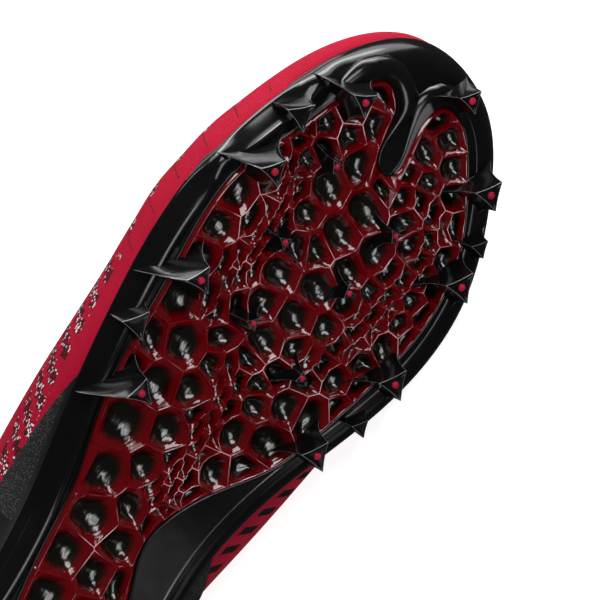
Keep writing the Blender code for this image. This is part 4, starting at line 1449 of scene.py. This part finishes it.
gloss = black_gloss()
dress(stud_plate, gloss)
dress(centre_studs, gloss)

# %% Red web
# The crest colour is a painted highlight along the web's top edge.
WEB_RED, WEB_CREST_HIGHLIGHT = (0.078, 0.0001, 0.0014, 1), (0.4, 0.24, 0.25, 1)
BOWL_BLACK = (0.0025, 0.0022, 0.0014, 1)
STREAK_STRETCH = (0.4, 1.0, 1.5)


def red_web():
    material, start, shader = new_finish(
        "red_web", WEB_RED[:3], 0.12, Coat_Weight=0.15, Coat_Roughness=0.06, Specular_IOR_Level=0.45
    )
    where = object_place(start)
    depth = attribute(start, "hollow")
    # Painted highlight: the crest turns pale pink in patches.
    crest = (1 - depth.smooth(0.01, 0.08)) * start.noise(where, 45.0, 3.0).smooth(0.53, 0.63)
    bowl = depth.smooth(0.9, 3.3)
    feed(0.08 + 0.08 * bowl, shader, "Roughness")
    feed(bowl.blend(crest.blend(WEB_RED, WEB_CREST_HIGHLIGHT), BOWL_BLACK), shader, "Base Color")
    drawn = start.add("VectorMath", {"operation": "MULTIPLY"}, {0: where, 1: STREAK_STRETCH})
    bump(start.noise(drawn, 300.0, 1.0) * depth.smooth(0.6, 2.0), shader, 0.35, 0.0012)
    return material


dress(honeycomb, red_web())

# %% [markdown]
# The dots in the stud tips are rough crimson plastic. Small cells of a Voronoi pattern give them a grain.

# %% Crimson dots
DOT_RED, DOT_BRIGHT, DOT_DARK = (0.5, 0.004, 0.05), (0.46, 0.008, 0.045, 1), (0.15, 0.003, 0.013, 1)


def crimson_dot():
    material, start, shader = new_finish("crimson_dot", DOT_RED, 0.35, Specular_IOR_Level=0.1)
    grain = start.add("TexVoronoi", None, {"Vector": object_place(start), "Scale": 2200.0})
    bump(grain, shader, 0.5, 0.0003)
    feed(grain.smooth(0.1, 0.7).blend(DOT_BRIGHT, DOT_DARK), shader, "Base Color")
    return material


dress(stud_dots, crimson_dot())

# %% [markdown]
# The knit is ribbed: rows of small stitches run round the foot, and their grooves are darkened with painted
# shade. The relief comes from two sine waves over the places along and up the cloth, which the pieces carry
# as a UV map.

# %% Knit
RIB, STITCH = 0.9, 1.3
CRIMSON, DEEP_CRIMSON = (0.245, 0.003, 0.017, 1), (0.19, 0.0024, 0.013, 1)


def cloth_place(start):
    """Places along and up the cloth, in millimetres."""
    place = start.add("UVMap", {"uv_map": "cloth"})
    return [start.add("SeparateXYZ", None, {"Vector": place}, output=axis) for axis in (0, 1)]


def crimson_knit(name, pattern=None):
    """Ribbed crimson knit. A pattern, if there is one, knits other yarns into the ground colour."""
    material, start, shader = new_finish(name, CRIMSON[:3], 0.75, Specular_IOR_Level=0.06)
    along, up = cloth_place(start)
    rib = (up * (2 * math.pi / RIB)).of("SINE")
    stitch = (along * (2 * math.pi / STITCH)).of("SINE")
    height = 0.5 + 0.3 * rib + 0.2 * rib * stitch
    # Painted shade in the grooves: the colour follows the rib relief, mixed half and half with a random tone.
    groove_shade_and_tone = height * 0.5 + start.noise(object_place(start), 90.0, 3.0) * 0.5
    colour = groove_shade_and_tone.smooth(0.2, 0.8).blend(DEEP_CRIMSON, CRIMSON)
    feed(pattern(colour, along, up) if pattern else colour, shader, "Base Color")
    bump(height, shader, 0.5, 0.0004)
    return material


# %% [markdown]
# The upper's sides carry knitted-in strokes. On the lateral side a row of slanted strokes is flecked with
# white, dark red and black stitches, and on the medial side short black dashes run below the arch. Both are
# worked out from the places along and up the cloth, and a random colour for each stitch picks its yarn.

# %% Knit with strokes
YARN_WHITE, YARN_DARK, YARN_BLACK = (0.44, 0.36, 0.37, 1), (0.08, 0.002, 0.007, 1), (0.008, 0.006, 0.007, 1)
FLECK = 0.7
STROKE_IN, STROKE_OUT, END_FADE = 0.25, 0.1, 0.4
STROKE_COLUMNS = "period slant width low high start end step".split()
LATERAL_STROKES = (8.8, 0.6, 5.0, 13.0, 29.0, 70, 205, 4.4)
TOE_STROKES = (13.2, 0.6, 4.4, 16.0, 30.0, 205, 275, 4.4)
TOE_SLITS = (13.2, 0.35, 0.5, 8.0, 16.0, 205, 275, 0.4)
MEDIAL_DASHES = (8.6, -0.9, 3.8, 9.6, 14.2, 478, 600, 0.4)


def strokes(along, up, values):
    """1 on a row of slanted strokes, and 0 off it."""
    row = dict(zip(STROKE_COLUMNS, values))
    stepped = (up / row["step"]).of("FLOOR") * row["step"]
    phase = ((along - row["slant"] * stepped) / row["period"]).of("FRACT")
    away = (phase - 0.5).of("ABSOLUTE") * row["period"]
    inside = 1 - away.smooth(row["width"] / 2 - STROKE_IN, row["width"] / 2 + STROKE_OUT)
    inside = inside * up.smooth(row["low"] - END_FADE, row["low"] + END_FADE)
    inside = inside * (1 - up.smooth(row["high"] - END_FADE, row["high"] + END_FADE))
    inside = inside * along.smooth(row["start"], row["start"] + 1)
    return inside * (1 - along.smooth(row["end"] - 1, row["end"]))


def side_strokes(ground, along, up):
    """The strokes of both sides, knitted into a ground colour."""
    stitch = along.add("CombineXYZ", None, {"X": (along / FLECK).of("FLOOR"), "Y": (up / FLECK).of("FLOOR")})
    pick = along.add("TexWhiteNoise", {"noise_dimensions": "2D"}, {"Vector": stitch})
    fleck = pick.smooth(0.15, 0.17).blend(YARN_WHITE, pick.smooth(0.67, 0.69).blend(YARN_DARK, YARN_BLACK))
    flecked = strokes(along, up, LATERAL_STROKES) + strokes(along, up, TOE_STROKES)
    dark = strokes(along, up, MEDIAL_DASHES) + strokes(along, up, TOE_SLITS)
    return dark.blend(flecked.blend(ground, fleck), YARN_BLACK)


dress(tongue, crimson_knit("tongue_knit"))

# %% [markdown]
# The lining, the lace and the footbed are plain dark cloth. Fine noise stands for their weave, both as relief
# and as a change of tone, because single threads would be too small to see. The tone is darker where the
# relief is low, a painted shade in the weave's grooves.

# %% Plain cloth
DARK_CLOTH, LACE_BLACK = (0.03, 0.03, 0.032), (0.02, 0.02, 0.021)
GROOVE_SHADE = 0.6


def plain_cloth(name, colour):
    material, start, shader = new_finish(name, colour, 0.9)
    weave = start.noise(object_place(start), 900.0, 2.0)
    bump(weave, shader, 0.4, 0.0003)
    # Painted shade: the colour darkens where the weave's relief is low.
    dark = tuple(value * GROOVE_SHADE for value in colour)
    feed(weave.smooth(0.3, 0.7).blend((*dark, 1), (*colour, 1)), shader, "Base Color")
    return material


dress(upper, crimson_knit("crimson_knit", side_strokes), plain_cloth("lining", DARK_CLOTH))
dress(lace, plain_cloth("lace_weave", LACE_BLACK))
dress(foot_bed, plain_cloth("footbed_cloth", DARK_CLOTH))

# %% [markdown]
# The heel overlay is a matte black film. Forward of a slanted line and above a smooth strip it is grained
# with pale flecks, so the grain is masked by the places along and up its cloth.

# %% Grained overlay
PANEL_AT, PANEL_SLANT, PANEL_FADE = 116.0, 0.2, 0.3
STRIP_HIGH, STRIP_FADE = 3.0, 0.6
OVERLAY_BLACK, OVERLAY_FLECK = (0.005, 0.005, 0.0055, 1), (0.04, 0.04, 0.04, 1)


def grained_black():
    material, start, shader = new_finish("grained_black", OVERLAY_BLACK[:3], 0.6, Specular_IOR_Level=0.25)
    along, up = cloth_place(start)
    wing = (along.of("ABSOLUTE") - PANEL_SLANT * up).smooth(PANEL_AT - PANEL_FADE, PANEL_AT + PANEL_FADE)
    grained = wing * up.smooth(STRIP_HIGH - STRIP_FADE, STRIP_HIGH + STRIP_FADE)
    grain = start.add("TexVoronoi", None, {"Vector": object_place(start), "Scale": 1500.0})
    feed((grained * (1 - grain.smooth(0.1, 0.5))).blend(OVERLAY_BLACK, OVERLAY_FLECK), shader, "Base Color")
    bump(grain * grained, shader, 0.4, 0.0003)
    feed(0.42 + 0.25 * grained, shader, "Roughness")
    return material


dress(overlay, grained_black())
